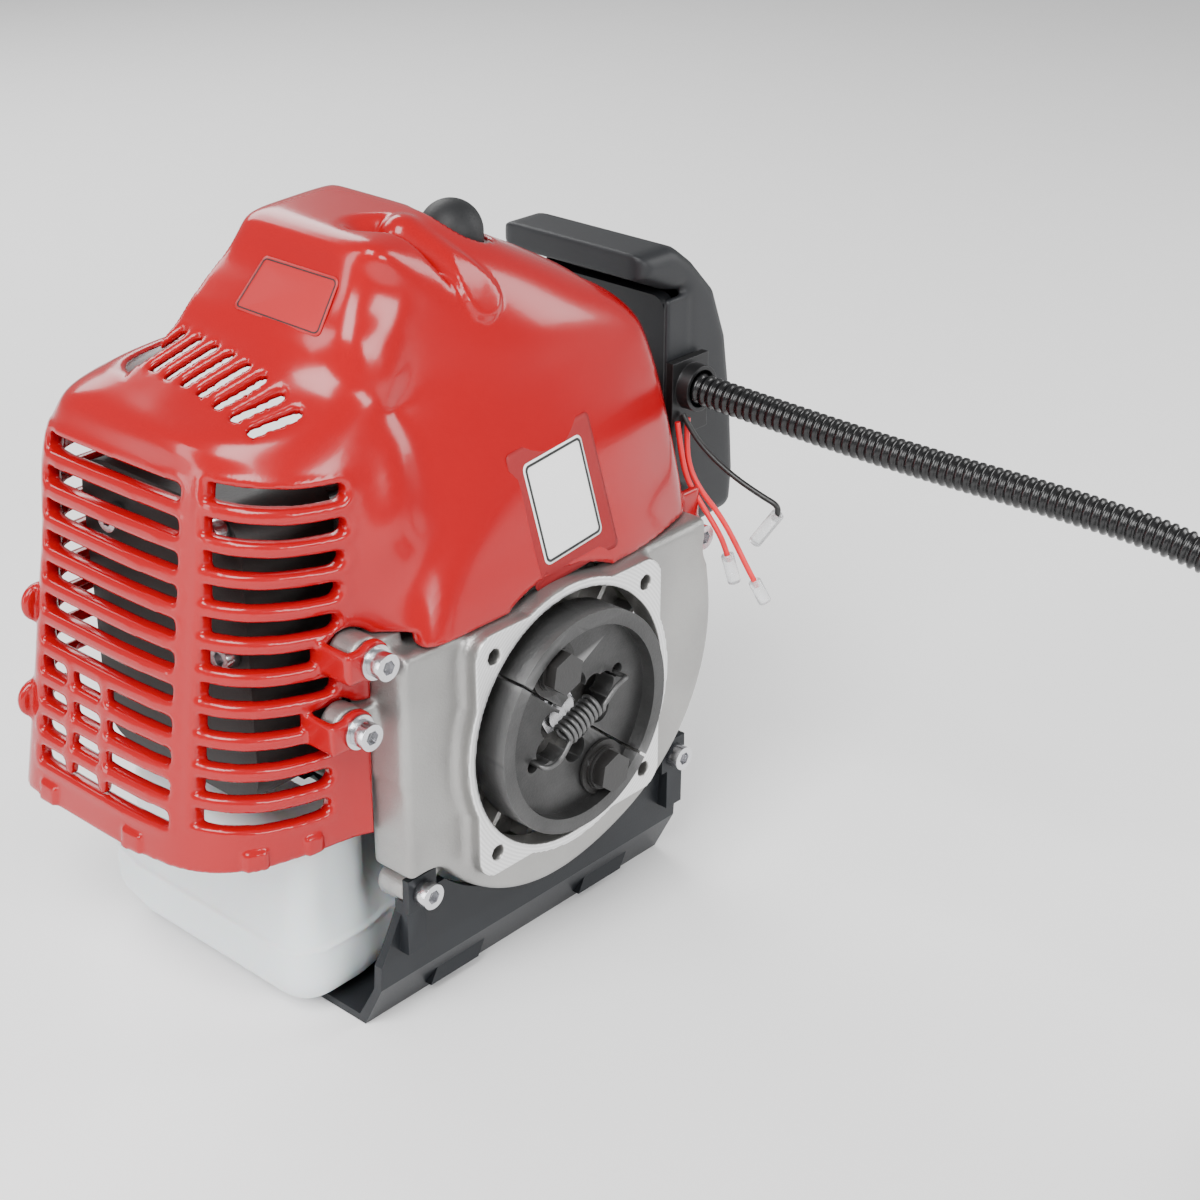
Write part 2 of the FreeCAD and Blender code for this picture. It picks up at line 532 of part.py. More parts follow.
# ---------------------------------------------------------------- red engine cover
# Horizontal outlines, counter-clockwise seen from above, lowest first.
GUARD = [
    (-22.0, [(-50, 22), (-50, 136), (-112, 136), (-124, 128), (-124, 57), (-122, 47),
             (-109, 32.6), (-90, 26)]),
    (108.0, [(-52, 22), (-52, 124), (-95, 124), (-104.5, 117), (-104.5, 54), (-103, 47),
             (-91, 32), (-75, 23)]),
    (134.0, [(-46, 31), (-46, 100), (-60, 100), (-66, 96), (-66, 52), (-65, 45), (-60, 38),
             (-54, 33)]),
]
HOOD = [
    (44.0, [(-57, 4.2), (38, 4.2), (70, 14), (78, 28), (78, 96), (-62, 96), (-64, 20)]),
    (62.0, [(-50, 8), (34, 8), (69, 18), (77.5, 30), (77.5, 96), (-62, 96), (-63, 21)]),
    (110.0, [(-19, 18.4), (26, 18), (62, 27), (70, 40), (70, 96), (-60, 96), (-46, 27)]),
    (134.0, [(-28, 23.5), (9, 23.5), (34, 30), (44, 40), (44, 96), (-56, 96), (-44, 29)]),
    (160.0, [(-46, 29), (-22, 38), (-11, 47), (-9, 54), (-9, 88), (-46, 86), (-50, 33)]),
]
SLOT_ROWS = 11


def cover_blocks(amount):
    guard = [(z, inset(outline[:], amount)) for z, outline in GUARD]
    hood = [(z, inset(outline[:], amount)) for z, outline in HOOD]
    if amount:
        guard[0], guard[-1] = (GUARD[0][0] - 5, guard[0][1]), (GUARD[-1][0] - amount, guard[-1][1])
        hood[0], hood[-1] = (HOOD[0][0] - 5, hood[0][1]), (HOOD[-1][0] - amount, hood[-1][1])
    return stack(guard), stack(hood)


def engine_cover():
    guard, hood = cover_blocks(0)
    guard_in, hood_in = cover_blocks(COVER_T)
    shell = guard.fuse(hood).cut(guard_in.fuse(hood_in))
    shell = shell.cut(box(-67, 100, -5, 145, -30, 43.9))
    shell = shell.cut(rod_y(0, 0, 50.0, -5, HOUSING_FACE_Y + 4))
    shell = shell.cut(box(-130, 100, 92, 145, 118, 200)).cut(box(-60, 100, 94, 145, -30, 200))
    shell = shell.cut(box(42, 100, 36, 100, 30, 170)).cut(box(-60, -46, 30, 94, -30, 128))
    shell = shell.cut(box(-58, 100, 80, 100, 30, 122))
    shell = shell.cut(box(-120, -58, 128, 145, -30, 120))
    shell = shell.cut(rod_z(0, CYL_Y, 16.0, 118, 170))
    shell = shell.cut(box(-12, 16, CYL_Y, 110, 125, 170))
    for k in range(SLOT_ROWS):
        z = 95.0 - k * 10.2
        left = box(-130, -98, 62, 120, z - 2.8, z + 2.8)
        front = box(-98 - 0.08 * (95 - z), -70 - 0.06 * (95 - z), 10, 45, z - 2.8, z + 2.8)
        shell = shell.cut([left, front])
    for k in range(8):
        vent = box(-88, -72, 40 + k * 7.0, 43 + k * 7.0, 112, 136)
        shell = shell.cut(vent)
    for x, z, head_y in COVER_SCREWS:
        y0 = head_y + M5_HEAD_H + 1.1
        lug = rod_y(x, z, 6.5, y0, y0 + COVER_LUG_T)
        if x < 0:
            lug = lug.fuse([box(x - 10, x, y0, y0 + COVER_LUG_T, z - 5, z + 5),
                            box(x - 10, x - 7.5, y0, 30, z - 5, z + 5)])
        else:
            lug = lug.fuse(box(x - 5, x + 4, y0, y0 + COVER_LUG_T, z, z + 16))
        side = -1 if x < 0 else 1
        bridge = box(min(x, x - side * 15), max(x, x - side * 15), -5, HOUSING_BACK_Y + GAP,
                     z - 4.4, z + 4.4)
        shell = shell.cut([rod_y(x, z, 7.3, -5, HOUSING_BACK_Y + GAP), bridge]).fuse(lug)
        shell = shell.cut(rod_y(x, z, M5_R + RUN, -5, y0 + 10))
    return max(shell.Solids, key=lambda solid: solid.Volume)


def cover_screws():
    screws, washers = [], []
    for x, z, head_y in COVER_SCREWS:
        screws.append(socket_screw(x, z, head_y, HOUSING_BACK_Y - 1.4 - head_y - 3.0))
        washers.append(washer(x, z, head_y + M5_HEAD_H + 0.02, 1.0))
    return screws + washers


def front_label():
    """Blank plate on the front wall of the cover."""
    tilt = math.degrees(math.atan2(10.4, 48.0))
    front = box(-8.5, 19.0, -0.5, 0.0, 0, 33)
    front = round_along(front, V(0, 1, 0), 2.5)
    front.rotate(V(0, 0, 0), V(1, 0, 0), -tilt)
    front.translate(V(0, 6.05, 54.5))
    return front


# ---------------------------------------------------------------- tank and stand
TANK_Y0, TANK_Y1 = 38.0, 143.5
TANK_BOTTOM = FLOOR_Z + STAND_T + 0.4


def tank_shape(shrink):
    main = box(-86 + shrink, 66 - shrink, TANK_Y0 + shrink, TANK_Y1 - shrink,
               TANK_BOTTOM + shrink, -57.5 - shrink)
    hump = box(-86 + shrink, -54 - shrink, TANK_Y0 + shrink, 126 - shrink,
               TANK_BOTTOM + shrink, -26 - shrink)
    return round_along(main.fuse(hump).removeSplitter(), V(0, 0, 1), 14.0 - shrink)


TANK_CAP = (112.0, -73.5)    # y, z of the filler on the right side
FUEL_AT = (53.0, 56.0)       # x, y of the grommet in the tank top


def fuel_tank():
    y, z = TANK_CAP
    tank = tank_shape(0).fuse(rod_x(y, z, 12.0, 60.0, 74.0))
    tank = tank.cut(tank_shape(2.2)).cut(rod_x(y, z, 9.5, 55.0, 75.0))
    return tank.cut(rod_z(*FUEL_AT, 3.0 + RUN, -62, -50))


def tank_cap():
    y, z = TANK_CAP
    cap = rod_x(y, z, 15.5, 74.4, 88.0).fuse(rod_x(y, z, 9.2, 64.0, 75.0))
    for k in range(18):
        a = 2 * math.pi * k / 18
        cap = cap.cut(rod_x(y + 16.2 * math.cos(a), z + 16.2 * math.sin(a), 1.3, 72.0, 89.0))
    return cap


def fuel_parts():
    """Pick-up filter inside the tank and the line from the grommet to the carburettor."""
    x, y = FUEL_AT
    weight = rod_x(y, TANK_BOTTOM + 9.0, 5.5, x - 30, x - 14)
    line = cord_tube([(x, y, -56.0), (x, y, -38), (x + 0.6, y, -16), (x + 1.2, y, 8),
                      (x + 1.4, y + 1.5, 24), (x + 1.3, y + 3.2, 39.4)], 4.0)
    inner = cord_tube([(x - 13.6, y, TANK_BOTTOM + 9), (x - 7, y, TANK_BOTTOM + 9.5),
                       (x - 1.5, y, TANK_BOTTOM + 15), (x, y, -68.5), (x, y + 0.3, -61.8)], 4.0)
    grommet = rod_z(x, y, 3.0, -61.5, -57.0).fuse(rod_z(x, y, 5.5, -57.4, -56.2))
    return weight, line, inner, grommet


def stand():
    """Bent plate: a floor under the tank, a leaning front wall hollowed for the housing."""
    t = STAND_T
    side = [(25.5, FLOOR_Z), (146.0, FLOOR_Z), (146.0, FLOOR_Z + t), (28.0, FLOOR_Z + t),
            (20.4, -77.5), (16.5, -30.0), (13.6, -30.0), (17.0, -77.0)]
    plate = prism_x(side, -72, 72)
    end = box(-72, 72, 147.0 - t, 147.0, FLOOR_Z, -70.0)
    plate = plate.fuse(end)
    outline = [(-72, -96), (72, -96), (78, -77), (61, -38), (50, -30), (-48, -30), (-58, -36),
               (-68, -60), (-78, -80)]
    front = prism_y(outline, 0, 60)
    plate = plate.common(front.fuse(box(-72, 72, 40, 200, -100, 0)))
    plate = plate.cut([rod_y(0, 0, 64.5, 0, 30), rod_y(VOLUTE_X, VOLUTE_Z, VOLUTE_R + 1, 0, 30)])
    for x in (-34.0, 38.0):
        rib = prism_y([(x - 13, -90), (x + 9, -90), (x + 15, -79), (x - 7, -79)], 20.6, 26.0)
        plate = plate.fuse(rib.cut(box(-100, 100, 24.0, 40, -100, 0)))
    for x, z in STAND_SCREWS:
        lug = box(x - 6, x + 6, 11.0, 13.8, z - 6, z + 6)
        plate = plate.fuse(lug.fuse(box(x - 6 if x < 0 else x - 2, x + 2 if x < 0 else x + 6,
                                        12.0, 17.5, z - 22, z)))
    plate = plate.cut(rod_y(0, 0, 64.5, 13.9, 30).cut(box(-100, 100, 0, 13.8, -80, 0)))
    for x, z in STAND_SCREWS:
        bridge = box(min(0.78 * x, x), max(0.78 * x, x), 13.8, 30, z - 3.5, z + 12.5)
        plate = plate.cut([rod_y(x, z, 6.4, 13.8, 30), rod_y(x, z, M5_R + RUN, 5, 30), bridge])
    return max(plate.Solids, key=lambda solid: solid.Volume)


# ---------------------------------------------------------------- recoil starter
REEL_Y0, REEL_Y1 = 83.0, 93.0
REEL_MID_Y = (REEL_Y0 + REEL_Y1) / 2
ROPE_Z = -33.0               # the rope leaves at the bottom of the reel, towards +X


def starter_housing():
    outer = rod_y(0, 0, 56.0, 75.0, 104.0)
    shell = outer.cut(rod_y(0, 0, 53.2, 74.0, 101.2)).cut(rod_y(0, 0, 12.0, 74, 76))
    shell = shell.fuse(rod_y(0, 0, 5.8, 82.5, 102.0))
    for x, z in STARTER_LUGS:
        ear = box(x - 7, x + 7, CASE_BACK_Y + GAP, 79.0, z - 7, z + 7)
        shell = shell.fuse(ear.fuse(box(min(x, x * 1.1), max(x, x * 1.1) + 1, 75, 79, z - 7, z)))
    for k in range(10):
        slot = box(20, 46, 100, 106, -2.2, 2.2)
        slot.rotate(V(0, 0, 0), V(0, 1, 0), 36 * k)
        shell = shell.cut(slot)
    tower = box(40, 60, 80, 98, ROPE_Z - 7, ROPE_Z + 7).cut(rod_y(0, 0, 54.0, 70, 101.2))
    shell = shell.fuse(tower).cut(rod_x(REEL_MID_Y, ROPE_Z, 2.2, 20, 80))
    for x, z in STARTER_LUGS:
        shell = shell.cut(rod_y(x, z, M5_R + RUN, 70, 90))
        shell = shell.cut(rod_y(x, z, M5_HEAD_R + 1.4, 79.0, 101.2))
    return max(shell.Solids, key=lambda solid: solid.Volume)


def starter_reel():
    reel = rod_y(0, 0, 36.0, REEL_Y0, REEL_Y1).cut(rod_y(0, 0, 5.8 + RUN, 70, 110))
    reel = reel.cut(ring_y(0, 0, 37, 30.0, REEL_Y0 + 2, REEL_Y1 - 2))
    return reel.cut(ring_y(0, 0, 26, 9.0, REEL_Y0 + 4, REEL_Y1 + 1))


def starter_rope():
    """Rope wound on the reel, one closed ring."""
    return ring_y(0, 0, 35.0, 30.0 + RUN, REEL_Y0 + 2.1, REEL_Y1 - 2.1)


def starter_spring():
    return ring_y(0, 0, 25.0, 15.0, REEL_Y0 + 5.0, REEL_Y1 + 0.5)


def pull_handle():
    grip = rod_y(72.0, ROPE_Z, 7.5, REEL_MID_Y - 13, REEL_MID_Y + 13)
    grip = grip.makeFillet(4.0, grip.Edges[0:1] + grip.Edges[2:3])
    neck = Part.makeCone(3.4, 6.0, 6.0, V(60.3, REEL_MID_Y, ROPE_Z), V(1, 0, 0))
    return grip.fuse(neck)


def starter_screws():
    return [socket_screw(x, z, 85.0, 17.5, -1) for x, z in STARTER_LUGS]


# ---------------------------------------------------------------- carburettor side
def insulator():
    block = box(38.5, 50.0, CARB_Y - 13, CARB_Y + 13, 40, 68)
    block = block.cut(rod_x(CARB_Y, CARB_Z, 7.0, 30, 60))
    for dy in INTAKE_DY:
        block = block.cut(rod_x(CARB_Y + dy, CARB_Z, 2.0 + RUN, 30, 60))
    return block


def carburettor():
    body = box(50.4, 82.0, CARB_Y - 14, CARB_Y + 14, 40, 70)
    body = body.fuse([rod_z(66, CARB_Y, 10, 69, 75), rod_z(66, CARB_Y, 12, 36, 41)])
    body = body.cut(rod_x(CARB_Y, CARB_Z, 6.5, 45, 90)).cut(rod_z(66, CARB_Y, 3.0 + RUN, 45, 80))
    body = body.cut(rod_z(66, CARB_Y, 8.0, 30, 42.6))
    for dy in INTAKE_DY:
        body = body.cut(rod_x(CARB_Y + dy, CARB_Z, 2.0 + RUN, 45, 90))
    return body


def intake_screws():
    screws = []
    for dy in INTAKE_DY:
        head = rod_x(CARB_Y + dy, CARB_Z, 3.4, 88.3, 91.6)
        socket = closed_wire([(91.6, CARB_Y + dy + u, CARB_Z + w) for u, w in hexagon(1.9)])
        head = head.cut(Part.Face(socket).extrude(V(-1.8, 0, 0)))
        screws.append(head.fuse(rod_x(CARB_Y + dy, CARB_Z, 1.95, 29.0, 88.5)))
    return screws


def throttle_lever():
    lever = rod_z(66, CARB_Y, 3.0, 46.5, 78.0).fuse(rod_z(66, CARB_Y, 6.0, 75.3, 78.0))
    lever = lever.fuse(box(63.5, 68.5, CARB_Y - 20, CARB_Y, 75.3, 78.0))
    lever = lever.cut(box(55, 80, 30, 60, 47.0, 61.0).cut(box(65.3, 66.7, 30, 60, 46, 62)))
    return lever.cut(rod_z(66, CARB_Y - 17, 1.3, 70, 80))


def primer_bulb():
    bulb = Part.makeSphere(7.6, V(66, CARB_Y, 34.5)).common(box(50, 80, 20, 80, 20, 35.9))
    return bulb.fuse(rod_z(66, CARB_Y, 7.6, 34.5, 38.0))


def cable_bracket():
    plate = box(79.2, 98.0, 27.3, 30.3, 64, 91).fuse(box(79.2, 81.8, 27.3, 35.8, 50, 69))
    cx, cz = CONDUIT_ROUTE[0][0], CONDUIT_ROUTE[0][2]
    plate = plate.fuse(rod_y(cx, cz, 8.0, 22.5, 27.5))
    return plate.cut(rod_y(cx, cz, CONDUIT_D / 2 + 1.0, 19.3, 27.3))


BASE_X0, BASE_X1 = 82.4, 88.0


def cleaner_base():
    plate = box(BASE_X0, BASE_X1, 34, 94, 27.5, 112)
    plate = round_along(plate, V(1, 0, 0), 6.0).fuse(rod_x(98, 62, 7.0, BASE_X0, BASE_X1))
    plate = plate.fuse(box(BASE_X0, BASE_X1, 90, 99, 56, 68))
    plate = plate.cut(rod_x(CARB_Y, CARB_Z, 6.5, 80, 95)).cut(rod_x(98, 62, 3.0 + RUN, 80, 95))
    for dy in INTAKE_DY:
        plate = plate.cut(rod_x(CARB_Y + dy, CARB_Z, 2.0 + RUN, 80, 95))
    return plate.fuse(rod_x(68, 100, 3.0, 87.5, 112.5))


def filter_foam():
    return round_along(box(93.0, 106.0, 38, 90, 34, 94), V(1, 0, 0), 8.0)


CLEANER_SIDE = [(88.3, 25.5), (99, 23.5), (119, 26), (121, 40), (118.5, 68), (114.5, 92),
                (107.5, 110), (96, 122), (84, 129.5), (68, 129.5), (68, 121), (84, 114),
                (88.3, 113)]
CLEANER_HOLLOW = [(88.0, 31), (99, 29), (114.5, 31), (116.3, 41), (113.8, 67), (110, 89),
                  (103.5, 105), (93, 114.5), (88.0, 114.5)]


def cleaner_cover():
    cover = round_along(prism_y(CLEANER_SIDE, 31.0, 97.0), V(0, 1, 0), 1.5)
    cover = cover.cut(prism_y(CLEANER_HOLLOW, 33.5, 94.5))
    return cover.cut(rod_x(68, 100, 3.3, 80, 130))


def cover_knob():
    knob = rod_x(68, 100, 9.0, 115.2, 125.0).cut(rod_x(68, 100, 3.0 + RUN, 110, 118))
    for k in range(8):
        a = 2 * math.pi * k / 8
        knob = knob.cut(rod_x(68 + 9.8 * math.cos(a), 100 + 9.8 * math.sin(a), 2.0, 112, 126))
    return knob


def choke_lever():
    lever = rod_x(98, 62, 3.0, BASE_X0, 88.1).fuse(rod_x(98, 62, 6.0, 78.5, 82.2))
    arm = box(78.5, 82.2, 98, 122, 59.0, 65.0)
    return lever.fuse([arm, rod_x(98, 62, 3.0, 80, 84), rod_x(120, 62, 5.0, 78.5, 86.0)])


# ---------------------------------------------------------------- ignition
COIL_AT = (-42.0, 20.1, 46.0)
LEAD_ROUTE = [(-44, 20, 53.2), (-43, 23, 66), (-42, 30, 84), (-41, 36, 102), (-36, 43, 118),
              (-25, 48, 129), (-11.4, 50, 133)]


def ignition_coil():
    x, y, z = COIL_AT
    coil = round_along(box(x - 10, x + 10, y - 5.6, y + 5.5, z - 4, z + 6), V(0, 0, 1), 2.0)
    return coil.fuse(box(x - 6, x + 2, y - 3, y + 3, z - 5.6, z - 3.5))


# ---------------------------------------------------------------- free cords
CONDUIT_ROUTE = [(89, 26.2, 81), (94, -12, 77.2), (99.5, -58, 74), (105, -105, 72.6),
                 (109.5, -146, 70), (113, -177, 61), (115.5, -200, 42), (117, -216, 14),
                 (117.8, -230, -16), (118, -250, -44), (118, -276, -62), (118, -308, -66.4)]
COIL_C = (60.0, -308.0)
COIL_MID_R = 58.0
COIL_LAYERS = 3
RED_ROUTE = [(86, 26, 70.5), (85, 25.5, 61), (85.3, 24, 52.5), (86.5, 19.8, 45), (88, 13.2, 38.5),
             (89, 7.6, 31), (90.5, 1.8, 20.5), (92.3, -1.6, 13.5)]
RED_SHORT_ROUTE = [(80.6, 26, 70.5), (80.9, 24.5, 60), (82, 22.5, 50), (84, 17.8, 42),
                   (86.3, 13.5, 34.5), (88.3, 10.3, 27.5), (89.5, 9.0, 21)]
BLACK_ROUTE = [(83.5, 26, 72.5), (84, 22.5, 67), (85.2, 16, 60.5), (87.3, 6.5, 54), (89.2, -4, 49.5),
               (91, -12, 46.5), (90.5, -9, 42)]


def wire_connectors():
    """Push-on sleeves at the wire ends, along the last run of each wire."""
    sleeves = []
    for route, length in ((RED_ROUTE, 9.0), (RED_SHORT_ROUTE, 11.0), (BLACK_ROUTE, 15.0)):
        last = V(*route[-1])
        run = (last - V(*route[-2])).normalize()
        sleeve = Part.makeCylinder(2.3, length, last - run * 2.5, run)
        hole = Part.makeCylinder(WIRE_D / 2 + 0.1, 2.7, last - run * 2.6, run)
        sleeves.append(sleeve.cut(hole))
    return sleeves


def conduit_coil():
    height = COIL_LAYERS * CONDUIT_D
    ring = Part.makeCylinder(COIL_MID_R + CONDUIT_D / 2 + 0.4, height, V(*COIL_C, FLOOR_Z))
    return ring.cut(Part.makeCylinder(COIL_MID_R - CONDUIT_D / 2 - 0.4, height, V(*COIL_C, FLOOR_Z)))


GRIP_X = COIL_C[0] + COIL_MID_R
GRIP_Y = COIL_C[1] - 50.0
GRIP_Z = FLOOR_Z + 17.0
GRIP_LENGTH, GRIP_HALF_X, GRIP_HEIGHT, GRIP_ROUND = 96.0, 14.0, 30.0, 9.0
TRIGGER_X, TRIGGER_Y, TRIGGER_PIN_R, TRIGGER_HALF = GRIP_X + 7.0, GRIP_Y - 33.0, 2.0, 5.0


def conduit_tail():
    """Last straight stretch, from the bottom of the coil into the throttle grip."""
    start = V(GRIP_X, COIL_C[1] - 27.5, FLOOR_Z + CONDUIT_D / 2 + 0.2)
    return Part.makeCylinder(CONDUIT_D / 2, start.y - GRIP_Y - 1.6, start, V(0, -1, 0))


def throttle_grip():
    """Pistol grip that ends the conduit, lying on its side, with a trigger slot below."""
    grip = box(GRIP_X - GRIP_HALF_X, GRIP_X + GRIP_HALF_X, GRIP_Y - GRIP_LENGTH, GRIP_Y,
               FLOOR_Z, FLOOR_Z + GRIP_HEIGHT)
    grip = round_along(grip, V(0, 1, 0), GRIP_ROUND)
    slot_half = TRIGGER_HALF + GAP
    slot = box(GRIP_X - 4, GRIP_X + GRIP_HALF_X + 1, GRIP_Y - 72, GRIP_Y - 28,
               GRIP_Z - slot_half, GRIP_Z + slot_half)
    pin_hole = rod_z(TRIGGER_X, TRIGGER_Y, TRIGGER_PIN_R + RUN, GRIP_Z - 9, GRIP_Z + 9)
    switch_slot = box(GRIP_X - 4.2, GRIP_X + 4.2, GRIP_Y - 88, GRIP_Y - 78, FLOOR_Z + 22, FLOOR_Z + 31)
    return grip.cut(slot).cut(pin_hole).cut(switch_slot)


def throttle_trigger():
    """Trigger on its pin, its blade standing out of the grip."""
    trigger = rod_z(TRIGGER_X, TRIGGER_Y, TRIGGER_PIN_R, GRIP_Z - 8.8, GRIP_Z + 8.8)
    trigger = trigger.fuse(rod_z(TRIGGER_X, TRIGGER_Y, 4.0, GRIP_Z - TRIGGER_HALF, GRIP_Z + TRIGGER_HALF))
    blade = prism_z([(GRIP_X + 8, GRIP_Y - 30), (GRIP_X + 5, GRIP_Y - 36), (GRIP_X + 12, GRIP_Y - 66),
                     (GRIP_X + 20, GRIP_Y - 66), (GRIP_X + 18, GRIP_Y - 50)],
                    GRIP_Z - TRIGGER_HALF, GRIP_Z + TRIGGER_HALF)
    return trigger.fuse(blade)


def stop_switch():
    """Sliding button in the slot on the grip's upper side."""
    return box(GRIP_X - 4, GRIP_X + 4, GRIP_Y - 84, GRIP_Y - 78.2, FLOOR_Z + 22.3, FLOOR_Z + 33)


# ---------------------------------------------------------------- gaskets and case screws
def gaskets():
    case = ring_y(0, 0, 57.0, 50.0, HOUSING_BACK_Y, CRANKCASE_FRONT_Y)
    case = case.cut(box(-70, 70, 0, 60, HOUSING_TOP_Z - 0.5, 80))
    for x, z in CASE_SCREWS:
        case = case.cut(rod_y(x, z, M5_R + 0.2, 0, 60))
    base = box(-28, 28, 29.8, 71, CASE_TOP_Z, CYL_BASE_Z).cut(rod_z(0, CYL_Y, BORE_R + 1, 0, 60))
    exhaust = box(-37.1, -36.0, CYL_Y - 12, CYL_Y + 12, 36, 88)
    exhaust = exhaust.cut(rod_x(CYL_Y, 62.0, 8.5, -40, -30))
    for z in EXHAUST_BOLT_Z:
        exhaust = exhaust.cut(rod_x(CYL_Y, z, 2.5 + RUN, -40, -30))
    return case, base, exhaust


def main():
    save("fan_housing", fan_housing())
    shoe = clutch_shoe()
    save("clutch_shoe_upper", shoe)
    lower = shoe.copy()
    lower.rotate(V(0, 0, 0), V(0, 1, 0), 180)
    save("clutch_shoe_lower", lower)
    bolts, pivots = clutch_pins()
    save("clutch_bolts", bolts + pivots)
    save("clutch_spring", clutch_spring())
    save("flywheel_fan", flywheel())
    save("flywheel_nut", flywheel_nut())
    save("crankshaft", crankshaft())
    save("starter_pawls", starter_pawls())
    save("crankcase", crankcase())
    save("crank_bearings", bearings())
    save("oil_seals", oil_seals())
    save("gaskets", gaskets())
    save("case_screws", [socket_screw(x, z, 35.2, 20.0, -1) for x, z in CASE_SCREWS])
    save("cylinder", cylinder())
    piston, rings, pin, rod = piston_group()
    save("piston", piston)
    save("piston_rings", rings)
    save("wrist_pin", pin)
    save("connecting_rod", rod)
    save("spark_plug", spark_plug())
    save("spark_plug_cap", spark_plug_cap())
    save("ignition_coil", ignition_coil())
    save("ignition_lead", cord_tube(LEAD_ROUTE, 6.0))
    save("muffler", muffler())
    save("muffler_bolts", muffler_bolts())
    save("engine_cover", engine_cover())
    save("cover_screws", cover_screws())
    save("noise_label", front_label())
    save("fuel_tank", fuel_tank())
    save("fuel_cap", tank_cap())
    weight, line, inner, grommet = fuel_parts()
    save("fuel_filter", weight)
    save("fuel_line", [line, inner, grommet])
    save("stand", stand())
    save("stand_screws", [socket_screw(x, z, 5.9, 15.4) for x, z in STAND_SCREWS])
    save("starter_housing", starter_housing())
    save("starter_reel", starter_reel())
    save("starter_rope", starter_rope())
    save("starter_spring", starter_spring())
    save("starter_handle", pull_handle())
    save("starter_screws", starter_screws())
    save("intake_insulator", insulator())
    save("carburettor", carburettor())
    save("intake_screws", intake_screws())
    save("throttle_lever", throttle_lever())
    save("primer_bulb", primer_bulb())
    save("cable_bracket", cable_bracket())
    save("cleaner_base", cleaner_base())
    save("filter_foam", filter_foam())
    save("cleaner_cover", cleaner_cover())
    save("cleaner_knob", cover_knob())
    save("choke_lever", choke_lever())
    save("conduit", [cord_tube(CONDUIT_ROUTE, CONDUIT_D), conduit_tail()])
    save("conduit_coil", conduit_coil())
    save("throttle_grip", throttle_grip())
    save("throttle_trigger", throttle_trigger())
    save("stop_switch", stop_switch())
    save("wire_red_long", cord_tube(RED_ROUTE, WIRE_D))
    save("wire_red_short", cord_tube(RED_SHORT_ROUTE, WIRE_D))
    save("wire_black", cord_tube(BLACK_ROUTE, WIRE_D))
    save("wire_connectors", wire_connectors())


main()
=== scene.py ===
"""Looks of the drive engine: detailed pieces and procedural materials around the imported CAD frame.

Lengths inside the script are millimetres in the CAD part's frame: -Y is the output side, +X the
carburettor side and +Z up.  Meshes are scaled to metres when they are made.
"""

import json
import math

import bpy
import numpy as np
from mathutils import Matrix, Vector
from mathutils.bvhtree import BVHTree


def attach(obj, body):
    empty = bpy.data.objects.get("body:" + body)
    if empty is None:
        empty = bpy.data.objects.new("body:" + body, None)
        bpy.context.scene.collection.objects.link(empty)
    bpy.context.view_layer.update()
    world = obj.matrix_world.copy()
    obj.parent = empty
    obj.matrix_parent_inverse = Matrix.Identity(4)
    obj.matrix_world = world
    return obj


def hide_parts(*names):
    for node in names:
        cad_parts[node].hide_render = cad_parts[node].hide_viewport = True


MM = 0.001
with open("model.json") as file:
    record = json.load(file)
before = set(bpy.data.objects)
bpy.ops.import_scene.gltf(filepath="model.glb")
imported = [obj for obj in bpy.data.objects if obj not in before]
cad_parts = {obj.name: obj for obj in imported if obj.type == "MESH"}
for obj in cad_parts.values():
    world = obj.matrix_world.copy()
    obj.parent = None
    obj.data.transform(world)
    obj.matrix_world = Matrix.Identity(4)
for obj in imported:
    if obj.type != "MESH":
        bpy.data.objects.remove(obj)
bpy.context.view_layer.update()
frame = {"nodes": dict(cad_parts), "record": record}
NODES = frame["nodes"]
FLOOR_Z = -94.0
SENSOR_MM, LENS_MM = 36.0, 65.13
CAMERA_AT = (-446.5, -410.8, 342.2)
CAMERA_TURN = (-48.182, 26.356, 0.239)      # azimuth, elevation and roll in degrees


# ---------------------------------------------------------------- camera, light, floor
def add_camera():
    """Camera at the reference view."""
    azimuth, elevation, roll = (math.radians(v) for v in CAMERA_TURN)
    back = Vector((math.sin(azimuth) * math.cos(elevation),
                   -math.cos(azimuth) * math.cos(elevation), math.sin(elevation)))
    level = Vector((math.cos(azimuth), math.sin(azimuth), 0.0))
    upright = back.cross(level)
    right = math.cos(roll) * level + math.sin(roll) * upright
    up = back.cross(right)
    data = bpy.data.cameras.new("camera")
    data.sensor_width = SENSOR_MM
    data.lens = LENS_MM
    data.clip_start = 0.01
    camera = bpy.data.objects.new("camera", data)
    bpy.context.scene.collection.objects.link(camera)
    turn = Matrix((right, up, back)).transposed().to_4x4()
    camera.matrix_world = Matrix.Translation(Vector(CAMERA_AT) * MM) @ turn
    bpy.context.scene.camera = camera


def add_light(name, place, target, size, power):
    """White area light aimed at a point, in metres and watts."""
    data = bpy.data.lights.new(name, "AREA")
    data.shape = "RECTANGLE"
    data.size, data.size_y = size
    data.energy = power
    light = bpy.data.objects.new(name, data)
    bpy.context.scene.collection.objects.link(light)
    light.location = place
    light.rotation_mode = "QUATERNION"
    light.rotation_quaternion = (Vector(target) - Vector(place)).to_track_quat("-Z", "Y")


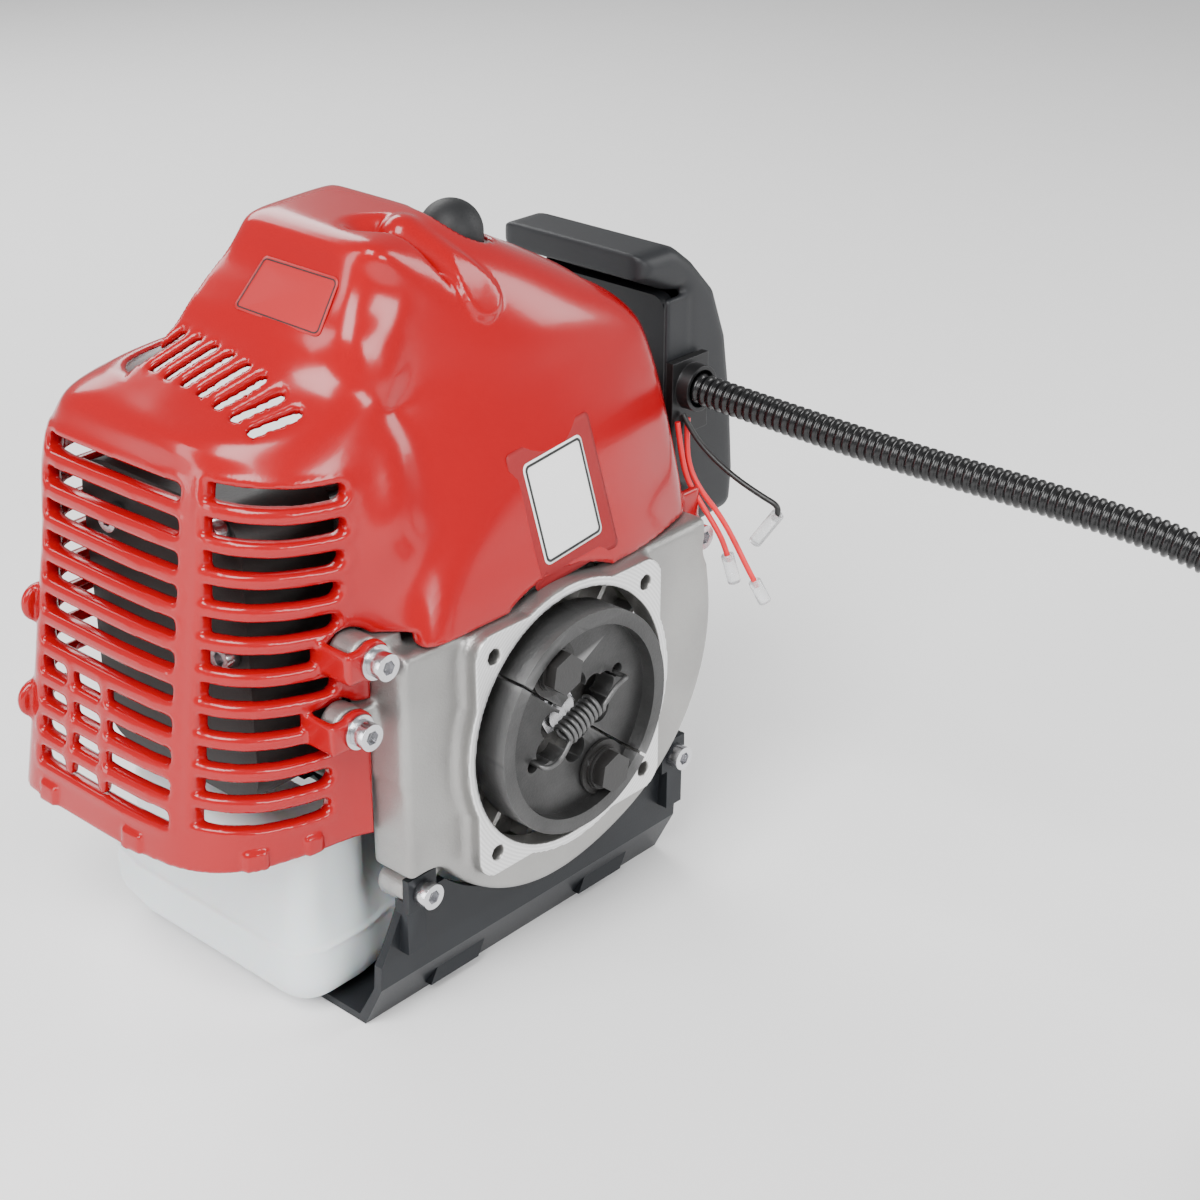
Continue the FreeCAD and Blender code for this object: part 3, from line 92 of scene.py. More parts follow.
def add_studio():
    """Five area lights, an even white world and a pale floor."""
    aim = (0.0, 0.03, 0.03)
    add_light("key", (-0.9, -0.35, 1.15), aim, (0.7, 0.9), 30.0)
    add_light("front", (-0.15, -1.35, 0.55), aim, (0.7, 0.4), 12.0)
    add_light("right", (1.2, -0.7, 0.6), aim, (0.5, 0.9), 10.0)
    add_light("left", (-1.35, 0.55, 0.45), aim, (0.4, 1.0), 9.0)
    add_light("behind", (0.3, 1.3, 0.9), aim, (1.2, 0.6), 16.0)
    world = bpy.data.worlds.new("studio")
    world.use_nodes = True
    world.node_tree.nodes["Background"].inputs["Color"].default_value = (1.0, 1.0, 1.0, 1.0)
    world.node_tree.nodes["Background"].inputs["Strength"].default_value = 0.42
    bpy.context.scene.world = world
    bpy.ops.mesh.primitive_plane_add(size=9.0, location=(0.0, 0.0, FLOOR_Z * MM - 0.0002))
    floor = bpy.context.object
    floor.name = "floor"
    floor.data.materials.append(finish("floor_paper", (0.96, 0.96, 0.96), 0.8, mottle=0.005))


# ---------------------------------------------------------------- materials
def finish(name, colour, roughness, mottle=0.06, patch=35.0, grain=1200.0, depth=0.0,
           spread=0.06, edge=None, **sockets):
    """Procedural surface: mottled colour, uneven gloss, fine grain and, if asked, worn edges.

    patch and grain are noise scales per metre, depth is the grain's height in metres."""
    made = bpy.data.materials.new(name)
    made.use_nodes = True
    tree = made.node_tree
    shader = tree.nodes["Principled BSDF"]
    for socket, value in sockets.items():
        shader.inputs[socket.replace("_", " ")].default_value = value
    place = tree.nodes.new("ShaderNodeTexCoord")
    blotch = tree.nodes.new("ShaderNodeTexNoise")
    blotch.inputs["Scale"].default_value = patch
    blotch.inputs["Detail"].default_value = 4.0
    fine = tree.nodes.new("ShaderNodeTexNoise")
    fine.inputs["Scale"].default_value = grain
    fine.inputs["Detail"].default_value = 3.0
    for noise in (blotch, fine):
        tree.links.new(place.outputs["Object"], noise.inputs["Vector"])
    ramp = tree.nodes.new("ShaderNodeValToRGB")
    ramp.color_ramp.elements[0].position = 0.3
    ramp.color_ramp.elements[1].position = 0.7
    ramp.color_ramp.elements[0].color = (*[c * (1 - mottle) for c in colour], 1)
    ramp.color_ramp.elements[1].color = (*[min(c * (1 + mottle), 1) for c in colour], 1)
    tree.links.new(blotch.outputs["Fac"], ramp.inputs["Fac"])
    base = ramp.outputs["Color"]
    if edge:
        geometry = tree.nodes.new("ShaderNodeNewGeometry")
        worn = tree.nodes.new("ShaderNodeMapRange")
        worn.inputs["From Min"].default_value = 0.52
        worn.inputs["From Max"].default_value = 0.60
        tree.links.new(geometry.outputs["Pointiness"], worn.inputs["Value"])
        mix = tree.nodes.new("ShaderNodeMix")
        mix.data_type = "RGBA"
        mix.inputs["B"].default_value = (*edge, 1)
        tree.links.new(worn.outputs["Result"], mix.inputs["Factor"])
        tree.links.new(base, mix.inputs["A"])
        base = mix.outputs["Result"]
    tree.links.new(base, shader.inputs["Base Color"])
    gloss = tree.nodes.new("ShaderNodeMapRange")
    gloss.inputs["To Min"].default_value = max(roughness - spread, 0.02)
    gloss.inputs["To Max"].default_value = min(roughness + spread, 1.0)
    tree.links.new(fine.outputs["Fac"], gloss.inputs["Value"])
    tree.links.new(gloss.outputs["Result"], shader.inputs["Roughness"])
    if depth:
        bump = tree.nodes.new("ShaderNodeBump")
        bump.inputs["Distance"].default_value = depth
        bump.inputs["Strength"].default_value = 0.6
        tree.links.new(fine.outputs["Fac"], bump.inputs["Height"])
        tree.links.new(bump.outputs["Normal"], shader.inputs["Normal"])
    return made


MILLED_FULL, MILLED_TO = 0.00015, 0.00035   # metres behind the flange face: milled up to, and gone


def cast_metal():
    """Sand-grained cast aluminium, milled bright on the flange's front face."""
    made = finish("cast_aluminium", (0.36, 0.355, 0.345), 0.42, mottle=0.12, patch=28.0,
                  grain=1400.0, depth=0.00022, spread=0.1, Metallic=0.85)
    tree = made.node_tree
    shader = tree.nodes["Principled BSDF"]
    coords = tree.nodes.new("ShaderNodeTexCoord")
    own = tree.nodes.new("ShaderNodeSeparateXYZ")
    tree.links.new(coords.outputs["Object"], own.inputs["Vector"])
    near = tree.nodes.new("ShaderNodeMapRange")
    near.inputs["From Min"].default_value = MILLED_TO
    near.inputs["From Max"].default_value = MILLED_FULL
    tree.links.new(own.outputs["Y"], near.inputs["Value"])
    mix = tree.nodes.new("ShaderNodeMix")
    mix.data_type = "RGBA"
    old = shader.inputs["Base Color"].links[0].from_socket
    tree.links.new(near.outputs["Result"], mix.inputs["Factor"])
    tree.links.new(old, mix.inputs["A"])
    rings = tree.nodes.new("ShaderNodeTexWave")
    rings.wave_type = "RINGS"
    rings.rings_direction = "Y"
    rings.inputs["Scale"].default_value = 260.0
    rings.inputs["Distortion"].default_value = 0.6
    tree.links.new(coords.outputs["Object"], rings.inputs["Vector"])
    milled = tree.nodes.new("ShaderNodeValToRGB")
    milled.color_ramp.elements[0].color = (0.70, 0.70, 0.70, 1)
    milled.color_ramp.elements[1].color = (0.86, 0.86, 0.86, 1)
    tree.links.new(rings.outputs["Fac"], milled.inputs["Fac"])
    tree.links.new(milled.outputs["Color"], mix.inputs["B"])
    tree.links.new(mix.outputs["Result"], shader.inputs["Base Color"])
    return made


def make_finishes():
    """Every material, named by its slot where it stands for one."""
    return {
        "cast_aluminium": cast_metal(),
        "clutch_steel": finish("clutch_steel", (0.060, 0.060, 0.060), 0.44, mottle=0.25, patch=60.0,
                               depth=0.00015, spread=0.14, edge=(0.24, 0.24, 0.24), Metallic=0.75),
        "black_steel": finish("black_steel", (0.012, 0.011, 0.0105), 0.5, mottle=0.25, patch=50.0,
                              depth=0.0001, edge=(0.05, 0.05, 0.05), Specular_IOR_Level=0.4),
        "zinc_steel": finish("zinc_steel", (0.62, 0.62, 0.64), 0.24, mottle=0.08, patch=90.0,
                             depth=0.00004, Metallic=1.0),
        "dark_zinc": finish("dark_zinc", (0.03, 0.03, 0.031), 0.38, mottle=0.1, Metallic=0.8),
        "machined_steel": finish("machined_steel", (0.5, 0.5, 0.51), 0.28, mottle=0.06,
                                 Metallic=1.0),
        "rubber": finish("rubber", (0.012, 0.0125, 0.0135), 0.55, mottle=0.15, depth=0.00008,
                         Specular_IOR_Level=0.35),
        "gasket_paper": finish("gasket_paper", (0.25, 0.27, 0.22), 0.8, mottle=0.15, depth=0.0001),
        "black_plastic": finish("black_plastic", (0.013, 0.014, 0.016), 0.48, mottle=0.1,
                                patch=45.0, grain=2200.0, depth=0.00008,
                                Specular_IOR_Level=0.35),
        "stand_paint": finish("stand_paint", (0.013, 0.0145, 0.017), 0.36, mottle=0.08, patch=60.0,
                              grain=1600.0, depth=0.00006, edge=(0.02, 0.022, 0.025),
                              Specular_IOR_Level=0.18),
        "red_plastic": finish("red_plastic", (0.36, 0.0, 0.004), 0.2, mottle=0.03, patch=18.0,
                              grain=420.0, depth=0.00002, spread=0.03, Coat_Weight=0.15,
                              Coat_Roughness=0.05, Specular_IOR_Level=0.4),
        "label_film": finish("label_film", (0.86, 0.86, 0.86), 0.35, mottle=0.02),
        "label_red": finish("label_red", (0.26, 0.0, 0.003), 0.6, mottle=0.03),
        "label_pink": finish("label_pink", (0.40, 0.004, 0.008), 0.5, mottle=0.03),
        "label_ink": finish("label_ink", (0.012, 0.012, 0.012), 0.45, mottle=0.1),
        "tank_plastic": finish("tank_plastic", (0.80, 0.81, 0.83), 0.38, mottle=0.02, patch=25.0,
                               grain=700.0, depth=0.00006, Subsurface_Weight=0.35,
                               Subsurface_Scale=0.01),
        "foam": finish("foam", (0.05, 0.05, 0.05), 0.95, mottle=0.3, grain=1500.0, depth=0.0008),
        "grey_plastic": finish("grey_plastic", (0.12, 0.12, 0.125), 0.45, mottle=0.08,
                               depth=0.00006),
        "conduit_plastic": finish("conduit_plastic", (0.006, 0.006, 0.0065), 0.26, mottle=0.1,
                                  patch=60.0, Specular_IOR_Level=0.45),
        "red_insulation": finish("red_insulation", (0.72, 0.01, 0.02), 0.35, mottle=0.05),
        "black_insulation": finish("black_insulation", (0.012, 0.012, 0.012), 0.38, mottle=0.1),
        "clear_sleeve": finish("clear_sleeve", (0.93, 0.94, 0.95), 0.25, mottle=0.02,
                               Transmission_Weight=0.75, IOR=1.4),
    }


# ---------------------------------------------------------------- distance fields
X, Y, Z = 0, 1, 2


def grid(low, high, step):
    """Sample points of a box as three arrays that broadcast together."""
    axes = [np.arange(a, b + step / 2, step, dtype=np.float32) for a, b in zip(low, high)]
    return np.meshgrid(*axes, indexing="ij", sparse=True)


def join(a, b, soft):
    """Union of two fields with a fillet about soft wide."""
    h = np.maximum(soft - np.abs(a - b), 0) / soft
    return np.minimum(a, b) - h * h * soft / 4


def both(a, b, soft):
    """What two fields share, its edges rounded."""
    return -join(-a, -b, soft)


def carve(a, b, soft):
    """Field a less field b, the edges rounded."""
    return -join(-a, b, soft)


def block(p, low, high, r=0.0):
    """Box with edges rounded to r."""
    q = [np.abs(c - (a + b) / 2) - ((b - a) / 2 - r) for c, a, b in zip(p, low, high)]
    inside = np.minimum(np.maximum(np.maximum(q[0], q[1]), q[2]), 0)
    return inside + np.sqrt(sum(np.maximum(c, 0) ** 2 for c in q)) - r


def rod(p, axis, centre, radius, low, high, r=0.0):
    """Cylinder along an axis from low to high, its rims rounded to r."""
    u, v = (p[k] for k in range(3) if k != axis)
    side = np.hypot(u - centre[0], v - centre[1]) - (radius - r)
    end = np.abs(p[axis] - (low + high) / 2) - ((high - low) / 2 - r)
    outside = np.hypot(np.maximum(side, 0), np.maximum(end, 0))
    return np.minimum(np.maximum(side, end), 0) + outside - r


def limb(p, a, b, ra, rb):
    """Round bar from a to b whose radius goes from ra to rb."""
    a, b = np.array(a, float), np.array(b, float)
    run = b - a
    t = np.clip(sum((c - s) * d for c, s, d in zip(p, a, run)) / (run @ run), 0, 1)
    gap = np.sqrt(sum((c - s - t * d) ** 2 for c, s, d in zip(p, a, run)))
    return gap - (ra + (rb - ra) * t)


def column(p, axis, outline, low, high, soft):
    """Any outline in the other two axes run along an axis, its rims rounded by soft."""
    u, v = (p[k] for k in range(3) if k != axis)
    gap, inside = np.float32(1e6), False
    for (u0, v0), (u1, v1) in zip(outline, outline[1:] + outline[:1]):
        eu, ev = u1 - u0, v1 - v0
        t = np.clip(((u - u0) * eu + (v - v0) * ev) / (eu * eu + ev * ev), 0, 1)
        gap = np.minimum(gap, np.hypot(u - u0 - t * eu, v - v0 - t * ev))
        if ev:
            inside = inside ^ (((v0 <= v) != (v1 <= v)) & (u < u0 + (v - v0) * eu / ev))
    field = np.where(inside, -gap, gap)
    return both(field, np.abs(p[axis] - (low + high) / 2) - (high - low) / 2, soft)


def curve_at(knots, z):
    """Smooth curve through (z, x, y) knots, read at heights z."""
    t = np.array([k[0] for k in knots], float)
    values = np.array([k[1:] for k in knots], float)
    slope = np.gradient(values, t, axis=0)
    z = np.clip(z, t[0], t[-1])
    k = np.clip(np.searchsorted(t, z, side="right") - 1, 0, len(t) - 2)
    h = (t[k + 1] - t[k])[:, None]
    s = ((z - t[k])[:, None]) / h
    return (values[k] * (1 + 2 * s) * (1 - s) ** 2 + slope[k] * h * s * (1 - s) ** 2
            + values[k + 1] * s * s * (3 - 2 * s) + slope[k + 1] * h * s * s * (s - 1))


def loft(p, ridges, soft):
    """Solid between upright ridges, given counter-clockwise, convex at every height."""
    x, y, z = p
    step = float(z[0, 0, 1] - z[0, 0, 0])
    corners = [curve_at(knots, z[0, 0].astype(float)).astype(np.float32) for knots in ridges]
    field = None
    for a, b in zip(corners, corners[1:] + corners[:1]):
        run = b - a
        run = run / np.maximum(np.linalg.norm(run, axis=1, keepdims=True), 1e-6)
        side = run[:, 1] * (x - a[:, 0]) - run[:, 0] * (y - a[:, 1])
        side = side / np.sqrt(1 + np.gradient(side, step, axis=2) ** 2)
        field = side if field is None else both(field, side, soft)
    return field


def blur(field, cells):
    """Gaussian blur, which rounds edges and fills creases."""
    reach = int(math.ceil(2.5 * cells))
    weights = np.exp(-0.5 * (np.arange(-reach, reach + 1) / cells) ** 2)
    weights /= weights.sum()
    for axis in range(3):
        pad = [(reach, reach) if k == axis else (0, 0) for k in range(3)]
        padded = np.pad(field, pad, mode="reflect", reflect_type="odd")
        size = field.shape[axis]
        field = sum(w * np.take(padded, range(k, k + size), axis=axis)
                    for k, w in enumerate(weights)).astype(np.float32)
    return field


def surface(p, field):
    """Vertices and quads where a sampled field crosses zero (surface nets)."""
    shape = field.shape
    cells = [n - 1 for n in shape]
    sums, counts, quads = np.zeros((np.prod(cells), 3)), np.zeros(np.prod(cells)), []
    for axis in range(3):
        low = tuple(slice(0, -1) if k == axis else slice(None) for k in range(3))
        high = tuple(slice(1, None) if k == axis else slice(None) for k in range(3))
        a, b = field[low], field[high]
        crossed = (a < 0) != (b < 0)
        at = np.argwhere(crossed)
        near, far = a[crossed], b[crossed]
        point = at.astype(float)
        point[:, axis] += near / (near - far)
        u, v = (k for k in range(3) if k != axis)
        corners = []
        for du, dv in ((0, 0), (1, 0), (1, 1), (0, 1)):
            cell = at.copy()
            cell[:, u] -= du
            cell[:, v] -= dv
            good = np.all((cell >= 0) & (cell < cells), axis=1)
            index = np.where(good, cell[:, 0] * cells[1] * cells[2] + cell[:, 1] * cells[2]
                             + cell[:, 2], -1)
            corners.append(index)
            for k in range(3):
                sums[:, k] += np.bincount(index[good], point[good, k], len(counts))
            counts += np.bincount(index[good], minlength=len(counts))
        faces = np.stack(corners, 1)
        flip = (near < 0) == (axis == 1)
        faces[flip] = faces[flip][:, ::-1]
        quads.append(faces[np.all(faces >= 0, axis=1)])
    quads = np.concatenate(quads)
    used = np.unique(quads)
    renumber = np.zeros(len(counts), int)
    renumber[used] = np.arange(len(used))
    spots = sums[used] / counts[used][:, None]
    low = np.array([float(c.flat[0]) for c in p])
    step = float(p[2].flat[1] - p[2].flat[0])
    for _ in range(3):
        spots = settle(field, spots)
    return low + spots * step, renumber[quads]


def settle(field, spots):
    """Move points, in cells, onto the zero surface of the field along its slope."""
    base = np.clip(np.floor(spots).astype(int), 0, np.array(field.shape) - 2)
    f = spots - base
    value, slope = np.zeros(len(spots)), np.zeros((len(spots), 3))
    for dx in (0, 1):
        for dy in (0, 1):
            for dz in (0, 1):
                v = field[base[:, 0] + dx, base[:, 1] + dy, base[:, 2] + dz]
                w = [f[:, k] if d else 1 - f[:, k] for k, d in enumerate((dx, dy, dz))]
                g = [1.0 if d else -1.0 for d in (dx, dy, dz)]
                value += v * w[0] * w[1] * w[2]
                slope[:, 0] += v * g[0] * w[1] * w[2]
                slope[:, 1] += v * g[1] * w[0] * w[2]
                slope[:, 2] += v * g[2] * w[0] * w[1]
    size = np.maximum((slope ** 2).sum(1), 1e-3)
    move = -(value / size)[:, None] * slope
    length = np.linalg.norm(move, axis=1, keepdims=True)
    return spots + move * np.minimum(1.0, 0.5 / np.maximum(length, 1e-6))


# ---------------------------------------------------------------- mesh helpers
def add_mesh(name, points, faces, material, body, smooth=True):
    """Mesh from millimetre points that rides on a body."""
    mesh = bpy.data.meshes.new(name)
    mesh.from_pydata((np.asarray(points, float) * MM).tolist(), [], np.asarray(faces).tolist()
                     if isinstance(faces, np.ndarray) else faces)
    mesh.materials.append(material)
    mesh.update()
    if smooth:
        mesh.shade_smooth()
    obj = bpy.data.objects.new(name, mesh)
    bpy.context.scene.collection.objects.link(obj)
    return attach(obj, body)


def add_shape(name, p, field, material, body, *replaced):
    """Mesh of a field's zero surface that stands for CAD nodes."""
    points, faces = surface(p, field)
    obj = add_mesh(name, points, faces, FINISH[material], body)
    if replaced:
        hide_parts(*replaced)
    return obj


# ---------------------------------------------------------------- red engine cover
COVER_T = 2.9
COVER_SCREWS = [(-72.5, 44.0, 6.0), (-77.5, 21.5, 9.0), (80.0, 32.0, 12.0)]   # x, z, y of the head
LUG_Y = 6.1                  # the cover's screw lugs start this far behind the head face
# Upright ridges, each a list of (z, x, y), counter-clockwise seen from above.
GUARD = [
    [(-24, -50, 22), (108, -52, 22), (136, -46, 31)],
    [(-24, -50, 136), (60, -50, 128), (108, -52, 124), (124, -50, 108), (140, -46, 100)],
    [(-24, -112, 136), (60, -101, 128), (104, -95, 124), (113, -92, 117), (122, -80, 106),
     (140, -58, 100)],
    [(-24, -124, 128), (60, -112, 121), (104, -104.8, 117), (111, -102.5, 114), (118, -95, 105),
     (130, -74, 99), (140, -60, 96)],
    [(-24, -124.4, 57), (60, -112, 55.2), (104, -105, 54), (110, -103.8, 54), (118, -91, 53),
     (128, -74, 52), (133, -65, 50), (140, -56, 48)],
    [(-24, -122, 47), (60, -110, 47), (104, -103.3, 47), (110, -101, 47), (120, -83, 46.5),
     (129, -69, 46), (140, -54, 44)],
    [(-24, -109, 32.6), (60, -98.5, 32.2), (104, -91.5, 32), (111, -86, 33), (122, -71, 36),
     (132, -61, 38), (140, -52, 40)],
    [(-24, -90, 26), (60, -82, 24.4), (104, -76, 23.1), (112, -68, 24.8), (124, -58, 28),
     (140, -47, 33)],
]
HOOD = [
    [(38, -58, 3.2), (44, -57, 4.2), (62, -48, 8), (80, -33, 11.6), (97, -20, 15.4),
     (110, -18.5, 18.4), (125, -23, 21.8), (145, -35.5, 26.5), (162, -52.5, 29.8)],
    [(38, 39, 3.2), (44, 38, 4.2), (62, 34, 8), (87, 29.5, 13), (106, 27, 17.5), (131, 12.5, 23),
     (148, 1, 33), (162, -10, 50)],
    [(38, 73, 12.5), (62, 72, 17.5), (80, 70.5, 21), (100, 67, 25), (112, 62, 27), (122, 51, 28.5),
     (131, 36, 30.5), (140, 22, 34), (150, 7, 40), (162, -10, 51)],
    [(38, 81.5, 27), (62, 79.5, 29), (80, 77, 33), (100, 74, 38), (112, 69, 40), (122, 58, 41.5),
     (131, 44, 43), (140, 28, 45), (150, 9, 49), (162, -9.5, 57)],
    [(38, 81.5, 98), (62, 79.5, 98), (80, 77, 98), (100, 74, 98), (112, 69, 98), (122, 58, 98),
     (131, 44, 98), (140, 28, 97), (150, 9, 96), (162, -9.5, 94)],
    [(38, -62, 98), (110, -65, 98), (134, -66, 98), (141, -60, 97), (148, -53.5, 94),
     (162, -48, 88)],
    [(38, -64, 22), (62, -63, 21), (79, -62.5, 18), (100, -52, 22), (112, -45, 25), (134, -58, 33),
     (141, -56, 35), (148, -53, 36), (162, -51, 38)],
]
SLOT_ROWS, SLOT_PITCH, SLOT_TOP_Z, SLOT_H = 11, 10.2, 95.0, 5.4
VENTS, VENT_PITCH, VENT_Y0, VENT_R = 8, 7.2, 38.0, 1.7
GUARD_TOP, HOOD_TOP, COVER_BLUR = 137.0, 160.0, 2.2
COVER_LOW_Z = -22.0          # the cover's lower rim
SCREW_CLEAR_R, COVER_HOLE_R, COVER_LUG_R, LUG_T = 7.3, 2.6, 6.5, 3.0


def slots(p):
    """Air slots: rows round the left face and in the oblique one, which sag to the left."""
    x, y, z = p
    found = None
    for k in range(SLOT_ROWS):
        mid = SLOT_TOP_Z - k * SLOT_PITCH
        low, high = mid - SLOT_H / 2, mid + SLOT_H / 2
        lean = 0.147 * (SLOT_TOP_Z - mid)
        left = block(p, (-150, 55.5, low), (-94 - lean, 117 + 0.06 * k, high), 1.6)
        rear = block(p, (-97 - lean, 112, low), (-76, 150, high), 1.6)
        run = x + 74 + 0.9 * k
        sag = z - mid + 0.0028 * (run - 2) * np.abs(run - 2)
        oblique = np.maximum(np.abs(sag) - SLOT_H / 2, np.maximum(-103 - lean - x, run))
        oblique = np.minimum(oblique, np.hypot(run, sag) - SLOT_H / 2)
        row = np.minimum(np.minimum(left, rear), np.maximum(oblique, y - 47))
        found = row if found is None else np.minimum(found, row)
    return found


def shelf_vents(p):
    """Slanting vents through the shelf above the left face."""
    flat = (p[X], p[Y], 0 * p[Z])
    found = None
    for k in range(VENTS):
        y = VENT_Y0 + VENT_PITCH * k
        vent = limb(flat, (-75.5, y - 1.0, 0), (-87.5, y + 4.0, 0), VENT_R, VENT_R)
        found = vent if found is None else np.minimum(found, vent)
    return np.maximum(found, 106.0 - p[Z])


def cover_outside(p):
    """Outer skin of the red cover: guard and hood, blended and blurred."""
    guard = both(loft(p, GUARD, 7.0), p[Z] - GUARD_TOP, 6.0)
    hood = both(loft(p, HOOD, 5.0), p[Z] - HOOD_TOP, 4.0)
    return blur(join(guard, hood, 12.0), COVER_BLUR / float(p[Z].flat[1] - p[Z].flat[0]))


def engine_cover():
    """Red cover: a thin shell with slots, vents, bars, tabs, ears and screw lugs."""
    p = grid((-128, -1, -27), (86, 140, 164), 1.1)
    outside = cover_outside(p)
    # scoop between the top facet and the front wall
    pocket = limb(p, (-33, 50, 163), (-14, 26, 143.5), 7.5, 5.5)
    bulge = limb(p, (-24, 46, 154.5), (-11, 24, 137.5), 6.5, 6.0)
    outside = join(carve(outside, pocket, 3.0), np.maximum(bulge, outside - 1.0), 2.0)
    inside = outside + COVER_T
    shell = np.maximum(outside, -inside)
    # inward collars give the slots their depth
    holes = slots(p)
    collar = np.maximum(holes - 2.2, np.maximum(outside, -inside - 2.0))
    shell = carve(join(shell, collar, 1.2), holes, 1.6)
    shell = carve(shell, shelf_vents(p), 0.8)
    # bars and a post across the left opening, latch tabs under the rim
    skin = np.maximum(outside - 0.2, -outside - 3.4)
    for y in (84.0, 101.0):
        bar = block(p, (-150, y, -8.5), (-90, y + 3.2, 28), 0.8)
        shell = join(shell, np.maximum(bar, skin), 1.2)
    post = block(p, (-118, 117, -8), (-90, 121.5, 100), 0.8)
    shell = join(shell, np.maximum(post, skin), 1.2)
    for x, y in ((-106, 31), (-88, 24), (-123, 70), (-123, 112)):
        tab = rod(p, Z, (x, y), 4.2, -22, -15.5, 0.6)
        shell = join(shell, np.maximum(tab, outside - 1.3), 0.8)
    # open underside, back, plug hole and the bow over the flange
    cuts = [
        block(p, (-67, -20, -60), (120, 160, 43.9), 0.5),         # underside
        rod(p, Y, (0, 0), 50.0, -20, 10.0, 0.5),                  # bow over the flange
        block(p, (-150, 92, 118), (120, 180, 230), 0.5),          # back, above the guard
        block(p, (-60, 94, -60), (120, 180, 230), 0.5),           # back
        block(p, (42, 36, 20), (120, 130, 230), 0.5),             # air cleaner side
        block(p, (-60, 37, -60), (-46, 94, 111), 0.5),
        block(p, (-58, 80, -60), (120, 110, 122), 0.5),
        block(p, (-120, 128, -60), (-58, 180, 120), 0.5),
        rod(p, Z, (0, 50), 12.5, 118, 200, 0.5),                  # spark plug
        block(p, (-11, 50, 125), (12.5, 130, 230), 0.5),          # ignition lead
    ]
    for cut in cuts:
        shell = carve(shell, cut, 0.8)
    shell = both(shell, COVER_LOW_Z - p[Z], 0.8)
    for ear_x, ear_z in ((-110.5, 40.0), (-116.0, 8.0)):
        ear = rod(p, Y, (ear_x, ear_z), 6.5, 123.5, 126.5, 0.8)
        shell = join(shell, np.maximum(ear, -inside - 1.0), 1.5)
    for sx, sz, head in COVER_SCREWS:
        back = head + LUG_Y
        lug = rod(p, Y, (sx, sz), COVER_LUG_R, back, back + LUG_T, 0.6)
        if sx < 0:
            foot = block(p, (sx - 10, back, sz - 5), (sx, back + LUG_T, sz + 5), 0.6)
            lug = np.minimum(lug, foot)
            lug = np.minimum(lug, block(p, (sx - 10, back, sz - 5), (sx - 7.5, 30, sz + 5), 0.6))
            clear = block(p, (sx, -5, sz - 4.4), (sx + 15, 26, sz + 4.4))
        else:
            foot = block(p, (sx - 5, back, sz), (sx + 4, back + LUG_T, sz + 16), 0.6)
            lug = np.minimum(lug, foot)
            clear = block(p, (sx - 15, -5, sz - 4.4), (sx, 26, sz + 4.4))
        clear = np.minimum(clear, rod(p, Y, (sx, sz), SCREW_CLEAR_R, -5, 26))
        shell = join(carve(shell, clear, 0.8), lug, 0.8)
        shell = carve(shell, rod(p, Y, (sx, sz), COVER_HOLE_R, -5, back + 10), 0.4)
    return add_shape("cover_shell", p, shell, "red_plastic", "engine", "engine_cover")


# ---------------------------------------------------------------- films on the cover
FILM_T = 0.12


def rounded_loop(width, height, r, count=10):
    """Outline of a rounded rectangle about the origin."""
    points = []
    for k, (sx, sy) in enumerate(((1, 1), (-1, 1), (-1, -1), (1, -1))):
        for j in range(count + 1):
            turned = math.pi / 2 * (k + j / count)
            points.append((sx * (width / 2 - r) + r * math.cos(turned),
                           sy * (height / 2 - r) + r * math.sin(turned)))
    return np.array(points)


def film(name, onto, centre, across, up, outer, inner, lift, material, node=None):
    """Thin film on a surface: a rounded rectangle, or the band between two of them.

    outer and inner are (width, height, corner radius); inner None fills the middle."""
    across, up = Vector(across).normalized(), Vector(up).normalized()
    inward = up.cross(across)
    big = rounded_loop(*outer)
    small = rounded_loop(*inner) if inner else big * 0.02
    layers = 3 if inner else 14
    rows = [small + (big - small) * k / layers for k in range(layers + 1)]
    count = len(big)
    spots = []
    for u, v in np.concatenate(rows):
        start = Vector(centre) + across * u + up * v
        hit = onto.ray_cast((start - inward * 30) * MM, inward, 0.06)[0]
        spots.append(tuple((hit - inward * lift * MM) / MM) if hit else tuple(start))
    faces = [(k * count + j, (k + 1) * count + j, (k + 1) * count + (j + 1) % count,
              k * count + (j + 1) % count) for k in range(layers) for j in range(count)]
    if not inner:
        faces.append(tuple(range(count)))
    obj = add_mesh(name, spots, faces, FINISH[material], "engine")
    thick = obj.modifiers.new("thick", "SOLIDIFY")
    thick.thickness = FILM_T * MM
    if node:
        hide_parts(node)


def labels(shell):
    """Blank front label with its border on a red surround, and a blank plate on the left slope."""
    onto = BVHTree.FromObject(shell, bpy.context.evaluated_depsgraph_get())
    front, across, up = (6.0, 6.0, 71.0), (0.995, 0.0, 0.1), (-0.1, 0.0, 0.995)
    film("label_surround", onto, (6.5, 6.0, 70.0), across, up, (38, 45, 2.0), None, 0.25,
         "label_red")
    film("label_white", onto, front, across, up, (27, 33, 2.2), None, 0.45, "label_film",
         "noise_label")
    film("label_border", onto, front, across, up, (25.6, 31.6, 1.8), (24.0, 30.0, 1.2), 0.62,
         "label_ink")
    slope, across, up = (-55.0, 58.0, 140.0), (0.0, -1.0, 0.0), (0.55, 0.0, 0.83)
    film("slope_plate", onto, slope, across, up, (33, 18, 2.0), None, 0.3, "label_pink")
    film("slope_border", onto, slope, across, up, (31.6, 16.6, 1.6), (30.8, 15.8, 1.3), 0.45,
         "label_ink")


